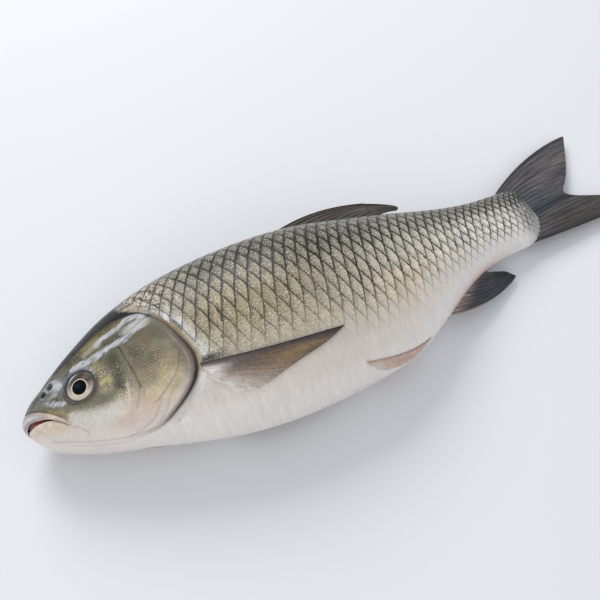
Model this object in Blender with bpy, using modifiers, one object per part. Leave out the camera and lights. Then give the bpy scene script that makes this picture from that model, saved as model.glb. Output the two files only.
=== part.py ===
"""A whole raw fish that lies on its right side, head towards -X and back towards +Y.

The body is a loft through rounded sections.  Its gill covers, lips, eye rims and fins
are joined to it in one union.  The mouth, nostrils, eye sockets and the flat spot that
the fish rests on are cut from it, and each eyeball sits in its socket as its own solid.
"""
import functools
import math

import bmesh
import bpy
import numpy as np
from mathutils import Matrix, Vector

# Driving dimensions, in metres
STANDARD_LENGTH = 0.400
EYE_RADIUS = 0.0120
EYE_HALF_DEPTH = 0.0075
EYE_PROUD = 0.0024
HIDDEN_EYE_PROUD = 0.0010
EYE_RIM_RADIUS = 0.0102
EYE_RIM_THICKNESS = 0.0032
LIP_THICKNESS = 0.0066
LIP_SUNK = 0.0014
MOUTH_GAPE = 0.0036
NOSTRIL_DEPTH = 0.0022
GILL_COVER_STEP = 0.0018
GILL_COVER_THICKNESS = 0.0042
GILL_COVER_SUNK = 0.0003
FIN_ROOT_THICKNESS = 0.0038
FIN_EDGE_THICKNESS = 0.0014
PAIRED_FIN_THICKNESS = 0.0030
PAIRED_FIN_TAPER = 0.8
FIN_VALLEY = 0.7
MESH_GAP = 0.0003

# From here on, lengths are fractions of the standard length unless a line says otherwise.
# Lines plan: distance from the snout, back, belly, half width, height of the middle plane
STATIONS = (
    (0.000, 0.008, -0.046, 0.030, 0.059),
    (0.030, 0.0215, -0.070, 0.043, 0.061),
    (0.060, 0.0435, -0.087, 0.052, 0.065),
    (0.100, 0.0700, -0.106, 0.062, 0.069),
    (0.150, 0.1005, -0.123, 0.071, 0.072),
    (0.200, 0.121, -0.140, 0.078, 0.075),
    (0.280, 0.141, -0.166, 0.086, 0.078),
    (0.360, 0.150, -0.182, 0.090, 0.079),
    (0.450, 0.153, -0.187, 0.089, 0.079),
    (0.540, 0.147, -0.182, 0.084, 0.076),
    (0.630, 0.132, -0.165, 0.074, 0.068),
    (0.720, 0.116, -0.122, 0.059, 0.059),
    (0.780, 0.105, -0.088, 0.048, 0.051),
    (0.840, 0.096, -0.061, 0.038, 0.043),
    (0.920, 0.091, -0.046, 0.027, 0.035),
    (1.000, 0.096, -0.044, 0.017, 0.029),
)
SECTION_POWER = 2.2
NOSE_HEIGHT = -0.012
NOSE_ROUND = 0.030
TAIL_END = 1.010

# Rear edge of the gill cover: angle round the body from the back, distance from the snout
GILL_EDGE = ((56, 0.200), (70, 0.232), (90, 0.266), (108, 0.279), (120, 0.268),
             (140, 0.225), (158, 0.177), (170, 0.130))
GILL_COVER_TOP = 60
GILL_COVER_LOW = 168
GILL_COVER_LENGTH = 0.120
GILL_COVER_END = 0.2
GILL_COVER_GRID = (14, 7)

# Line between the lips in side view: distance from the snout, height
MOUTH_LINE = ((-0.020, -0.034), (0.013, -0.035), (0.030, -0.0385), (0.054, -0.0475),
              (0.083, -0.073))
MOUTH_SLIT_END = 0.056
LIP_OFFSETS = (0.0135, -0.0120)
LIP_FRONT = 0.002
LIP_END_SWELL = 0.45
LIP_STEPS = 10

EYE_STATION = 0.108
EYE_ANGLE = 92
NOSTRILS = ((0.050, 67, 0.0055), (0.063, 66, 0.0070))

# Height of the middle plane behind the body, where the tail fin droops towards the table
FIN_PLANE = ((0.70, 0.060), (0.84, 0.040), (1.00, 0.029), (1.14, 0.021), (1.30, 0.012))

# Fins in the middle plane: both ends of the root, the free edge, how far the first and
# the last ray bow, how far the edge droops, then the number of rays and of rows
MIDDLE_FINS = {
    "dorsal_fin": {
        "root": ((0.472, 0.146), (0.668, 0.112)),
        "edge": ((0.765, 0.139), (0.764, 0.135), (0.757, 0.131)),
        "bow": (0.037, 0.009), "droop": 0.0, "rays": 6, "rows": 8},
    "anal_fin": {
        "root": ((0.706, -0.117), (0.836, -0.048)),
        "edge": ((0.906, -0.082), (0.893, -0.067), (0.872, -0.057)),
        "bow": (-0.017, -0.002), "droop": 0.022, "rays": 6, "rows": 6},
    "tail_fin": {
        "root": ((0.965, 0.088), (0.965, -0.040)),
        "edge": ((1.226, 0.184), (1.182, 0.121), (1.143, 0.074), (1.116, 0.046),
                 (1.140, 0.026), (1.200, 0.004), (1.289, -0.032)),
        "bow": (0.019, -0.004), "droop": 0.0, "rays": 12, "rows": 8},
}
BOW_POWER = 0.7

# Paired fins on the flank, whose root and free edge are stations and angles round the
# body.  The hidden one of each pair is turned round the body by some degrees.
PAIRED_FINS = {
    "pectoral_fin": {
        "root": ((0.284, 112), (0.289, 122)),
        "edge": ((0.512, 120), (0.467, 126), (0.410, 131), (0.355, 138), (0.318, 138)),
        "hidden_turn": 20, "rays": 7, "rows": 7},
    "pelvic_fin": {
        "root": ((0.522, 151), (0.534, 164)),
        "edge": ((0.656, 171), (0.634, 178), (0.598, 180), (0.560, 177)),
        "hidden_turn": -20, "rays": 5, "rows": 6},
}

RING_POINTS = 36
NOSE_RINGS = 6
BODY_RINGS = 38
RIM_SEGMENTS = (24, 8)
EYE_SEGMENTS = (24, 14)
NOSTRIL_SEGMENTS = (12, 8)
MOUTH_CUTTER_ROWS = 8
SHARP_ANGLE = 40


@functools.cache
def natural_spline(points):
    """A smooth function through (x, y) points, with straight ends."""
    x = np.array([point[0] for point in points], dtype=float)
    y = np.array([point[1] for point in points], dtype=float)
    step = np.diff(x)
    count = len(x)
    matrix = np.eye(count)
    right = np.zeros(count)
    for i in range(1, count - 1):
        matrix[i, i - 1:i + 2] = step[i - 1], 2 * (step[i - 1] + step[i]), step[i]
        right[i] = 6 * ((y[i + 1] - y[i]) / step[i] - (y[i] - y[i - 1]) / step[i - 1])
    bend = np.linalg.solve(matrix, right)

    def value(at):
        i = int(np.clip(np.searchsorted(x, at) - 1, 0, count - 2))
        left = at - x[i]
        slope = (y[i + 1] - y[i]) / step[i] - step[i] * (2 * bend[i] + bend[i + 1]) / 6
        return y[i] + left * (slope + left * (bend[i] / 2
                              + left * (bend[i + 1] - bend[i]) / (6 * step[i])))

    return value


def through(points, share):
    """The point at a share of the way along a smooth path through 2D points."""
    shares = np.linspace(0, 1, len(points))
    return [natural_spline(tuple(zip(shares, axis)))(share) for axis in zip(*points)]


LINES = [natural_spline(tuple((row[0], row[column]) for row in STATIONS))
         for column in range(1, 5)]
gill_edge = natural_spline(GILL_EDGE)
fin_plane = natural_spline(FIN_PLANE)


def section(station):
    """Back, belly, half width and middle plane of the body, with the snout rounded off."""
    inside = min(max(station, 0.0), 1.0)
    back, belly, width, middle = [line(inside) for line in LINES]
    reach = min(max(station / NOSE_ROUND, 0.0), 1.0)
    swell = math.sqrt(1 - (1 - reach) ** 2)
    back = NOSE_HEIGHT + (back - NOSE_HEIGHT) * swell
    belly = NOSE_HEIGHT + (belly - NOSE_HEIGHT) * swell
    return back, belly, width * swell, middle


def power(value):
    """The value to the section's power, with its sign kept."""
    return math.copysign(abs(value) ** (2 / SECTION_POWER), value)


def skin(station, degrees, lift=0.0):
    """A point on the body, lifted along the outward direction by a length in metres."""
    back, belly, width, middle = section(station)
    centre = (back + belly) / 2
    angle = math.radians(degrees)
    across = width * power(math.sin(angle))
    height = centre + (back - belly) / 2 * power(math.cos(angle))
    point = Vector((station, height, middle + across)) * STANDARD_LENGTH
    return point + outward(station, degrees) * lift if lift else point


def outward(station, degrees):
    """The direction that points out of the body at a place on its skin."""
    along = skin(station + 0.004, degrees) - skin(station - 0.004, degrees)
    around = skin(station, degrees + 2) - skin(station, degrees - 2)
    return around.cross(along).normalized()


def angle_at(station, height):
    """The angle round the body, in degrees, at which its skin has the given height."""
    back, belly, _, _ = section(station)
    share = (height - (back + belly) / 2) / ((back - belly) / 2)
    share = min(max(share, -1.0), 1.0)
    cosine = math.copysign(abs(share) ** (SECTION_POWER / 2), share)
    return math.degrees(math.acos(cosine))


def in_plane(station, height):
    """A point of the plane that the middle fins lie in."""
    plane = section(station)[3] if station < FIN_PLANE[0][0] else fin_plane(station)
    return Vector((station, height, plane)) * STANDARD_LENGTH


def collection(name):
    """A new collection in the scene."""
    made = bpy.data.collections.new(name)
    bpy.context.scene.collection.children.link(made)
    return made


def material(name, colour, roughness):
    """A plain non-metallic surface."""
    made = bpy.data.materials.new(name)
    made.use_nodes = True
    shader = made.node_tree.nodes["Principled BSDF"]
    shader.inputs["Base Color"].default_value = (*colour, 1.0)
    shader.inputs["Roughness"].default_value = roughness
    shader.inputs["Metallic"].default_value = 0.0
    return made


def add_object(name, bm, target):
    """An object in the target collection, made from the mesh being edited."""
    bmesh.ops.recalc_face_normals(bm, faces=bm.faces)
    mesh = bpy.data.meshes.new(name)
    bm.to_mesh(mesh)
    bm.free()
    made = bpy.data.objects.new(name, mesh)
    target.objects.link(made)
    return made


def mapped_grid(columns, rows, place):
    """A square grid whose corners are put where place(across, along) says, each 0 to 1."""
    bm = bmesh.new()
    bmesh.ops.create_grid(bm, x_segments=columns, y_segments=rows, size=0.5)
    for vertex in bm.verts:
        vertex.co = place(vertex.co.x + 0.5, vertex.co.y + 0.5)
    return bm


def body(target):
    """The trunk and head, from the tip of the snout to the end of the scales."""
    turns = [math.pi / 2 * i / NOSE_RINGS for i in range(NOSE_RINGS)]
    rings = [NOSE_ROUND * (1 - math.cos(turn)) for turn in turns]
    rings += list(np.linspace(NOSE_ROUND, TAIL_END, BODY_RINGS))

    def place(around, along):
        return skin(rings[round(along * (len(rings) - 1))], 360 * around)

    bm = mapped_grid(RING_POINTS, len(rings) - 1, place)
    bmesh.ops.remove_doubles(bm, verts=bm.verts, dist=1e-6)
    bmesh.ops.holes_fill(bm, edges=bm.edges)
    return add_object("body", bm, target)


def side_angle(degrees, side):
    """An angle on the left side, or its mirror on the right side."""
    return degrees if side > 0 else 360 - degrees


def gill_cover(side, target):
    """A plate that rises out of the head and ends in a step at its rear edge."""
    def place(around, along):
        degrees = GILL_COVER_TOP + (GILL_COVER_LOW - GILL_COVER_TOP) * around
        station = gill_edge(degrees) - GILL_COVER_LENGTH * (1 - along)
        ends = min(1.0, around / GILL_COVER_END, (1 - around) / GILL_COVER_END)
        rise = GILL_COVER_STEP * math.sin(math.pi / 2 * along) * ends
        return skin(station, side_angle(degrees, side), rise - GILL_COVER_SUNK * (1 - ends))

    plate = add_object("gill_cover", mapped_grid(*GILL_COVER_GRID, place), target)
    middle = plate.data.polygons[len(plate.data.polygons) // 2]
    if middle.normal.z * side < 0:
        plate.data.flip_normals()
    solidify = plate.modifiers.new("thickness", "SOLIDIFY")
    solidify.thickness = GILL_COVER_THICKNESS
    solidify.offset = -1.0
    return plate


def fin(name, shape, place, root, edge, target):
    """A thin plate with a ridge on every second line for its rays, thinner at the edge."""
    columns = 2 * shape["rays"]
    rows = shape["rows"]
    bm = mapped_grid(columns, rows, place)
    layer = bm.verts.layers.deform.verify()
    for index, vertex in enumerate(bm.verts):
        row, column = divmod(index, columns + 1)
        ridge = 1.0 if column % 2 == 0 else FIN_VALLEY
        vertex[layer][0] = ridge * (1 + (edge / root - 1) * row / rows)
    plate = add_object(name, bm, target)
    plate.vertex_groups.new(name="rays")
    solidify = plate.modifiers.new("thickness", "SOLIDIFY")
    solidify.thickness = root
    solidify.offset = 0.0
    solidify.vertex_group = "rays"
    return plate


def on_fin(shape, across, along):
    """The place between a fin's root and its free edge, as the fin's outline is given."""
    start = Vector(shape["root"][0]).lerp(Vector(shape["root"][1]), across)
    end = Vector(through(shape["edge"], across))
    return start.lerp(end, along)


def middle_fin(name, shape, target):
    """A fin in the middle plane, with rays that bow and droop towards its free edge."""
    def place(across, along):
        point = on_fin(shape, across, along)
        first, last = shape["bow"]
        bend = first + (last - first) * across
        point.y += bend * math.sin(math.pi * along) ** BOW_POWER
        fall = shape["droop"] * math.sin(math.pi / 2 * along)
        return in_plane(*point) - Vector((0.0, 0.0, fall * STANDARD_LENGTH))

    return fin(name, shape, place, FIN_ROOT_THICKNESS, FIN_EDGE_THICKNESS, target)


def paired_fin(name, shape, side, target):
    """A fin that lies back on the flank, half sunk in it."""
    turn = 0 if side > 0 else shape["hidden_turn"]

    def place(across, along):
        station, degrees = on_fin(shape, across, along)
        return skin(station, side_angle(degrees + turn, side))

    edge_thickness = PAIRED_FIN_TAPER * PAIRED_FIN_THICKNESS
    return fin(name, shape, place, PAIRED_FIN_THICKNESS, edge_thickness, target)


def lip(offset, target):
    """A soft tube round the mouth, from one corner to the other."""
    mouth = natural_spline(MOUTH_LINE)
    corner = MOUTH_LINE[-1][0]
    sides = [[], []]
    for i in range(LIP_STEPS, -1, -1):
        share = (i / LIP_STEPS) ** 1.6
        station = LIP_FRONT + (corner - LIP_FRONT) * share
        height = mouth(station) + offset * (1 - share)
        back, belly, _, _ = section(station)
        if 0.98 * belly < height < back:
            degrees = angle_at(station, height)
            for side, points in zip((1, -1), sides):
                place = skin(station, side_angle(degrees, side), -LIP_SUNK)
                points.append((place, 1 - (1 - LIP_END_SWELL) * share))
    route = sides[0] + sides[1][::-1]
    curve = bpy.data.curves.new("lip", "CURVE")
    curve.dimensions = "3D"
    curve.bevel_depth = LIP_THICKNESS / 2
    curve.bevel_resolution = 1
    curve.use_fill_caps = True
    spline = curve.splines.new("POLY")
    spline.points.add(len(route) - 1)
    for point, (place, swell) in zip(spline.points, route):
        point.co = (*place, 1.0)
        point.radius = swell
    return curve_to_mesh("lip", curve, target)


def curve_to_mesh(name, curve, target):
    """The curve's solid as a mesh with its caps welded on."""
    guide = bpy.data.objects.new(name, curve)
    target.objects.link(guide)
    graph = bpy.context.evaluated_depsgraph_get()
    mesh = bpy.data.meshes.new_from_object(guide.evaluated_get(graph))
    bm = bmesh.new()
    bm.from_mesh(mesh)
    bmesh.ops.remove_doubles(bm, verts=bm.verts, dist=1e-6)
    bpy.data.objects.remove(guide)
    bpy.data.meshes.remove(mesh)
    return add_object(name, bm, target)


def facing(station, degrees, lift):
    """A frame on the skin whose Z axis points out of the body."""
    out = outward(station, degrees)
    turned = out.to_track_quat("Z", "Y").to_matrix().to_4x4()
    return Matrix.Translation(skin(station, degrees, lift)) @ turned


def eye_frame(side):
    """The middle of an eyeball, which stands a little proud of the head."""
    proud = EYE_PROUD if side > 0 else HIDDEN_EYE_PROUD
    return facing(EYE_STATION, side_angle(EYE_ANGLE, side), proud - EYE_HALF_DEPTH)


def ball(name, frame, radius, half_depth, segments, target):
    """A flattened ball in the given frame."""
    bm = bmesh.new()
    size = Matrix.Diagonal((radius, radius, half_depth, 1.0))
    bmesh.ops.create_uvsphere(bm, u_segments=segments[0], v_segments=segments[1],
                              radius=1.0, matrix=frame @ size)
    return add_object(name, bm, target)


def eye_rim(side, target):
    """The raised ring of skin round an eye."""
    degrees = side_angle(EYE_ANGLE, side)
    frame = facing(EYE_STATION, degrees, 0.0)
    bpy.ops.mesh.primitive_torus_add(major_radius=EYE_RIM_RADIUS,
                                     minor_radius=EYE_RIM_THICKNESS / 2,
                                     major_segments=RIM_SEGMENTS[0],
                                     minor_segments=RIM_SEGMENTS[1])
    rim = bpy.context.active_object
    rim.data.transform(frame)
    for user in list(rim.users_collection):
        user.objects.unlink(rim)
    target.objects.link(rim)
    return rim


def mouth_cutter(target):
    """A wedge along the slit of the mouth, widest in front and closed at the corners."""
    mouth = natural_spline(MOUTH_LINE)
    front = MOUTH_LINE[0][0]

    def place(across, along):
        station = front + (MOUTH_SLIT_END - front) * along
        gape = MOUTH_GAPE / STANDARD_LENGTH * (0.12 + 0.88 * min(1.0, 1.3 * (1 - along)))
        height = mouth(station) + gape * (across - 0.5)
        return Vector((station, height, 0.0)) * STANDARD_LENGTH

    bm = mapped_grid(1, MOUTH_CUTTER_ROWS, place)
    solid = bmesh.ops.extrude_face_region(bm, geom=bm.faces[:])
    lifted = [item for item in solid["geom"] if isinstance(item, bmesh.types.BMVert)]
    bmesh.ops.translate(bm, verts=lifted, vec=(0.0, 0.0, 0.15 * STANDARD_LENGTH))
    return add_object("mouth_cutter", bm, target)


def table_cutter(target):
    """A slab below the table's level, which leaves the flat spot that the fish rests on."""
    bm = bmesh.new()
    size = Matrix.Diagonal((2 * STANDARD_LENGTH, STANDARD_LENGTH, 0.040, 1.0))
    middle = Matrix.Translation((STANDARD_LENGTH / 2, 0.0, -0.020))
    bmesh.ops.create_cube(bm, size=1.0, matrix=middle @ size)
    return add_object("table_cutter", bm, target)


def boolean(subject, operation, operands):
    """Join a collection to the subject, or cut it out of the subject."""
    change = subject.modifiers.new(operation.lower(), "BOOLEAN")
    change.operation = operation
    change.solver = "EXACT"
    change.operand_type = "COLLECTION"
    change.collection = operands
    return change


def fuse(name, subject, pieces, target):
    """One object made of the subject and all the pieces, which are then removed."""
    boolean(subject, "UNION", pieces)
    graph = bpy.context.evaluated_depsgraph_get()
    mesh = bpy.data.meshes.new_from_object(subject.evaluated_get(graph))
    mesh.name = name
    for piece in list(pieces.objects):
        bpy.data.objects.remove(piece)
    bpy.data.objects.remove(subject)
    bpy.data.collections.remove(pieces)
    made = bpy.data.objects.new(name, mesh)
    target.objects.link(made)
    return made


def add_relief(pieces):
    """All that stands out of the body."""
    for side in (1, -1):
        gill_cover(side, pieces)
        eye_rim(side, pieces)
        for name, shape in PAIRED_FINS.items():
            paired_fin(name, shape, side, pieces)
    for offset in LIP_OFFSETS:
        lip(offset, pieces)
    for name, shape in MIDDLE_FINS.items():
        middle_fin(name, shape, pieces)


def add_cutters(cutters):
    """All that is cut from the body."""
    mouth_cutter(cutters)
    table_cutter(cutters)
    for side in (1, -1):
        ball("socket_cutter", eye_frame(side), EYE_RADIUS + MESH_GAP,
             EYE_HALF_DEPTH + MESH_GAP, EYE_SEGMENTS, cutters)
        for station, degrees, width in NOSTRILS:
            frame = facing(station, side_angle(degrees, side), 0.0)
            ball("nostril_cutter", frame, width / 2, NOSTRIL_DEPTH, NOSTRIL_SEGMENTS, cutters)
    for cutter in cutters.objects:
        cutter.hide_render = True
        cutter.display_type = "WIRE"


def stand_on_origin(frame, subject):
    """Move the frame so that the fish stands on the origin, under the middle of its box."""
    bpy.context.view_layer.update()
    graph = bpy.context.evaluated_depsgraph_get()
    corners = [vertex.co for vertex in subject.evaluated_get(graph).data.vertices]
    low = Vector([min(corner[axis] for corner in corners) for axis in range(3)])
    high = Vector([max(corner[axis] for corner in corners) for axis in range(3)])
    frame.location = (-(low.x + high.x) / 2, -(low.y + high.y) / 2, -low.z)


def main():
    """Build the fish."""
    for old in list(bpy.data.objects):
        bpy.data.objects.remove(old)
    parts = collection("whole_raw_fish")
    pieces = collection("fish_pieces")
    cutters = collection("fish_cutters")
    add_relief(pieces)
    fish = fuse("fish", body(parts), pieces, parts)
    fish.data.shade_smooth()
    fish.data.set_sharp_from_angle(angle=math.radians(SHARP_ANGLE))
    fish.data.materials.clear()
    fish.data.materials.append(material("scaled_skin", (0.36, 0.33, 0.25), 0.28))
    add_cutters(cutters)
    boolean(fish, "DIFFERENCE", cutters)

    eye_material = material("eye", (0.45, 0.43, 0.36), 0.08)
    for name, side in (("eye_left", 1), ("eye_right", -1)):
        eye = ball(name, eye_frame(side), EYE_RADIUS, EYE_HALF_DEPTH, EYE_SEGMENTS, parts)
        eye.data.materials.append(eye_material)
        eye.data.shade_smooth()

    frame = bpy.data.objects.new("fish_frame", None)
    parts.objects.link(frame)
    stand_on_origin(frame, fish)
    for part in list(parts.objects) + list(cutters.objects):
        if part is not frame:
            part.parent = frame


main()
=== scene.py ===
"""The looks of a whole raw fish that lies on its right side, head towards -X.

The skin follows the same stations, gill edge, mouth line and fin outlines as the solids.
The head is one fine mesh with a folded gill opening, lips, nostrils and a mouth that is cut
open over a red lining.  The trunk carries overlapping scales, each a thin plate of its own,
and every fin has rays.
"""

import math

import bpy
import numpy as np
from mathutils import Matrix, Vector


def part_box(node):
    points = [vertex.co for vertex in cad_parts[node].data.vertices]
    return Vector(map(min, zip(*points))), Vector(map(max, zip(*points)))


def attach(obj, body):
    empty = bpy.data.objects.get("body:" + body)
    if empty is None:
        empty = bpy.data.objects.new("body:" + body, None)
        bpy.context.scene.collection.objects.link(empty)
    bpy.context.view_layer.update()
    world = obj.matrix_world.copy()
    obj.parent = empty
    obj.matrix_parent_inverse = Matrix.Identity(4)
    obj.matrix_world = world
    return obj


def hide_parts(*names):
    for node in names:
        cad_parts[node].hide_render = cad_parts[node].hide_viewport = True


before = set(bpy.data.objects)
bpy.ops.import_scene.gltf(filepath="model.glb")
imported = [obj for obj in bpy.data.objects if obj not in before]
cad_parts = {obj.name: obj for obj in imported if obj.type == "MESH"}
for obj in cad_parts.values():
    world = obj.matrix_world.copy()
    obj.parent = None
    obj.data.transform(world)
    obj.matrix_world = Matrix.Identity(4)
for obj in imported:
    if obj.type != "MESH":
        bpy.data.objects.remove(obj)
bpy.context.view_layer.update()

# Driving dimensions, in metres
STANDARD_LENGTH = 0.400
EYE_RADIUS = 0.0120
EYE_HALF_DEPTH = 0.0075
EYE_PROUD = 0.0024
HIDDEN_EYE_PROUD = 0.0010
MOUTH_GAPE = 0.0038
GILL_COVER_STEP = 0.0018
MM = 0.001

# Body lines: distance from the snout, back, belly, half width, height of the middle plane,
# all as fractions of the standard length, like every length below that has no unit
STATIONS = (
    (0.000, 0.008, -0.046, 0.030, 0.059),
    (0.030, 0.0215, -0.070, 0.043, 0.061),
    (0.060, 0.0435, -0.087, 0.052, 0.065),
    (0.100, 0.0700, -0.106, 0.062, 0.069),
    (0.150, 0.1005, -0.123, 0.071, 0.072),
    (0.200, 0.121, -0.140, 0.078, 0.075),
    (0.280, 0.141, -0.166, 0.086, 0.078),
    (0.360, 0.150, -0.182, 0.090, 0.079),
    (0.450, 0.153, -0.187, 0.089, 0.079),
    (0.540, 0.147, -0.182, 0.084, 0.076),
    (0.630, 0.132, -0.165, 0.074, 0.068),
    (0.720, 0.116, -0.122, 0.059, 0.059),
    (0.780, 0.105, -0.088, 0.048, 0.051),
    (0.840, 0.096, -0.061, 0.038, 0.043),
    (0.920, 0.091, -0.046, 0.027, 0.035),
    (1.000, 0.096, -0.044, 0.017, 0.029),
)
SECTION_POWER = 2.2
NOSE_HEIGHT = -0.012
NOSE_ROUND = 0.030
TAIL_END = 1.018
TAIL_TAPER_START = 0.945
TAIL_TAPER = 0.76
TAIL_ROOT_TOP = ((0.940, 0.000), (0.985, 0.000), (1.005, -0.002), (1.018, -0.010))
TAIL_ROOT_LOW = ((0.940, 0.000), (0.960, 0.001), (0.980, 0.006), (0.998, 0.018), (1.010, 0.031),
                 (1.018, 0.048))

# Steps along and round the body, in degrees, that find which way its skin faces
NOSE_TIP = 0.001
SMALL_STEP = 0.0009
SMALL_TURN = 1.5

# Rear edge of the gill cover: angle round the body from the back, distance from the snout
GILL_EDGE = ((0, 0.172), (30, 0.182), (56, 0.200), (70, 0.232), (90, 0.266), (108, 0.279),
             (120, 0.268), (140, 0.225), (158, 0.177), (170, 0.130), (180, 0.112))
GILL_COVER_TOP = 60
GILL_COVER_LOW = 168
GILL_COVER_END = 0.2

# Line between the lips and the outer borders of both lips: distance from the snout, height
MOUTH_LINE = ((-0.020, -0.034), (0.013, -0.035), (0.030, -0.0385), (0.054, -0.0475),
              (0.083, -0.073))
UPPER_LIP = ((-0.010, 0.002), (0.009, -0.008), (0.029, -0.019), (0.049, -0.033),
             (0.063, -0.046), (0.083, -0.071))
LOWER_LIP = ((-0.010, -0.050), (0.009, -0.053), (0.029, -0.056), (0.046, -0.063),
             (0.066, -0.071), (0.083, -0.076))
MOUTH_SLIT_END = 0.056
MOUTH_END = 0.083

# The mouth's lining: where it begins and ends, and its size as a share of the snout's
LINING_START = 0.0035
LINING_END = 0.075
LINING_SIZE = 0.955

# The eye's place; its pupil's offset in millimetres; the direction of the iris's dark part
# and of the shine near its rim, in degrees
EYE_STATION = 0.108
EYE_ANGLE = 92
PUPIL_OFFSET = (0.2, -1.7)
DARK_IRIS_TURN = 75
SHINE_TURN = 116

# Nostrils: distance from the snout, angle round the body, width in metres
NOSTRILS = ((0.050, 70, 0.0043), (0.062, 68, 0.0052))

# The plane that the middle fins lie in: distance from the snout, height
FIN_PLANE = ((0.70, 0.060), (0.84, 0.040), (1.00, 0.029), (1.14, 0.021), (1.30, 0.012))

# Fins in the middle plane, with the two ends of the root, the free edge, how far the first
# and last ray bow, how far the edge droops, the number of rays, how deep the web lies between
# them and how strongly their colour is streaked
MIDDLE_FINS = {
    "dorsal_fin": {
        "root": ((0.472, 0.146), (0.668, 0.112)),
        "edge": ((0.765, 0.139), (0.764, 0.135), (0.757, 0.131)),
        "bow": (0.037, 0.009), "droop": 0.0, "rays": 9, "relief": 0.55, "streaked": 0.9},
    "anal_fin": {
        "root": ((0.706, -0.117), (0.836, -0.048)),
        "edge": ((0.906, -0.082), (0.893, -0.067), (0.872, -0.057)),
        "bow": (-0.017, -0.002), "droop": 0.022, "rays": 10, "relief": 0.55, "streaked": 1.5},
    "tail_fin": {
        "root": ((0.965, 0.088), (0.965, -0.040)),
        "edge": ((1.226, 0.184), (1.182, 0.121), (1.143, 0.074), (1.116, 0.046),
                 (1.140, 0.026), (1.200, 0.004), (1.289, -0.032)),
        "bow": (0.019, -0.004), "droop": 0.0, "rays": 19, "relief": 0.55, "streaked": 1.3},
}
BOW_POWER = 0.7

# Fins on the flanks, given by distance from the snout and angle, with how much further the
# hidden ones turn round the body and how far they lift off the skin, in millimetres
PAIRED_FINS = {
    "pectoral_fin": {
        "root": ((0.284, 112), (0.289, 122)),
        "edge": ((0.512, 120), (0.467, 126), (0.410, 131), (0.355, 138), (0.318, 138)),
        "hidden_turn": 20, "lift": 0.55, "rays": 16, "relief": 0.22, "streaked": 0.55},
    "pelvic_fin": {
        "root": ((0.522, 151), (0.534, 164)),
        "edge": ((0.656, 171), (0.634, 178), (0.598, 180), (0.560, 177)),
        "hidden_turn": -20, "lift": 0.20, "rays": 9, "relief": 0.22, "streaked": 0.35},
}

# Scales: how far apart their columns and rows lie at a station, and where they begin
COLUMN_STEP = ((0.15, 0.0185), (0.25, 0.0205), (0.36, 0.0223), (0.45, 0.0222), (0.52, 0.0207),
               (0.68, 0.0204), (0.80, 0.0190), (0.90, 0.0182), (1.02, 0.0165))
ROW_STEP = ((0.15, 8.6), (0.26, 9.2), (0.36, 10.0), (0.45, 10.0), (0.52, 10.6), (0.68, 11.6),
            (0.80, 12.5), (1.02, 12.8))
SCALES_BEGIN = ((0, 0.190), (38, 0.203), (50, 0.212), (60, 0.228), (70, 0.243), (90, 0.276),
                (108, 0.290), (120, 0.280), (140, 0.240), (158, 0.205), (180, 0.190))
SCALE_RISE = 0.34 * MM
SCALE_CURVE = 1.25
LAST_SCALE = 1.022
LATTICE = (0.15, 1.06, 1200)
SCALE_SINK = 1.2 * MM


def srgb(red, green, blue):
    """A linear colour from the usual 0 to 255 values."""
    values = np.array((red, green, blue)) / 255.0
    return np.where(values <= 0.04045, values / 12.92, ((values + 0.055) / 1.055) ** 2.4)


def spline(points):
    """A smooth function through (x, y) points, with straight ends."""
    x, y = np.array(points, dtype=float).T
    step = np.diff(x)
    count = len(x)
    matrix = np.eye(count)
    right = np.zeros(count)
    for i in range(1, count - 1):
        matrix[i, i - 1:i + 2] = step[i - 1], 2 * (step[i - 1] + step[i]), step[i]
        right[i] = 6 * ((y[i + 1] - y[i]) / step[i] - (y[i] - y[i - 1]) / step[i - 1])
    bend = np.linalg.solve(matrix, right)

    def value(at):
        i = np.clip(np.searchsorted(x, at) - 1, 0, count - 2)
        left = at - x[i]
        slope = (y[i + 1] - y[i]) / step[i] - step[i] * (2 * bend[i] + bend[i + 1]) / 6
        return y[i] + left * (slope + left * (bend[i] / 2
                              + left * (bend[i + 1] - bend[i]) / (6 * step[i])))

    return value


def through(points, share):
    """Points at shares of the way along a smooth path through 2D points."""
    shares = np.linspace(0, 1, len(points))
    return np.stack([spline(tuple(zip(shares, axis)))(share) for axis in zip(*points)], -1)


LINES = [spline([(row[0], row[column]) for row in STATIONS]) for column in range(1, 5)]
gill_edge = spline(GILL_EDGE)
fin_plane = spline(FIN_PLANE)
mouth_line = spline(MOUTH_LINE)
upper_lip_line = spline(UPPER_LIP)
lower_lip_line = spline(LOWER_LIP)
column_step = spline(COLUMN_STEP)
row_step = spline(ROW_STEP)
scales_begin = spline(SCALES_BEGIN)


def smooth(value, start, end):
    """A smooth step from 0 at the start to 1 at the end, which may lie on either side."""
    share = np.clip((value - start) / (end - start), 0, 1)
    return share * share * (3 - 2 * share)


def section(station):
    """Back, belly, half width and middle plane of the body, with the snout rounded off."""
    back, belly, width, middle = [line(np.clip(station, 0, 1)) for line in LINES]
    reach = np.clip(station / NOSE_ROUND, 0, 1)
    swell = np.sqrt(1 - (1 - reach) ** 2)
    back = back + np.interp(station, *zip(*TAIL_ROOT_TOP))
    belly = belly + np.interp(station, *zip(*TAIL_ROOT_LOW))
    width = width * (1 - TAIL_TAPER * smooth(station, TAIL_TAPER_START, TAIL_END))
    back = NOSE_HEIGHT + (back - NOSE_HEIGHT) * swell
    belly = NOSE_HEIGHT + (belly - NOSE_HEIGHT) * swell
    return back, belly, width * swell, middle


def power(value, exponent=2 / SECTION_POWER):
    """The value to a power, with its sign kept."""
    return np.copysign(np.abs(value) ** exponent, value)


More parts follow.
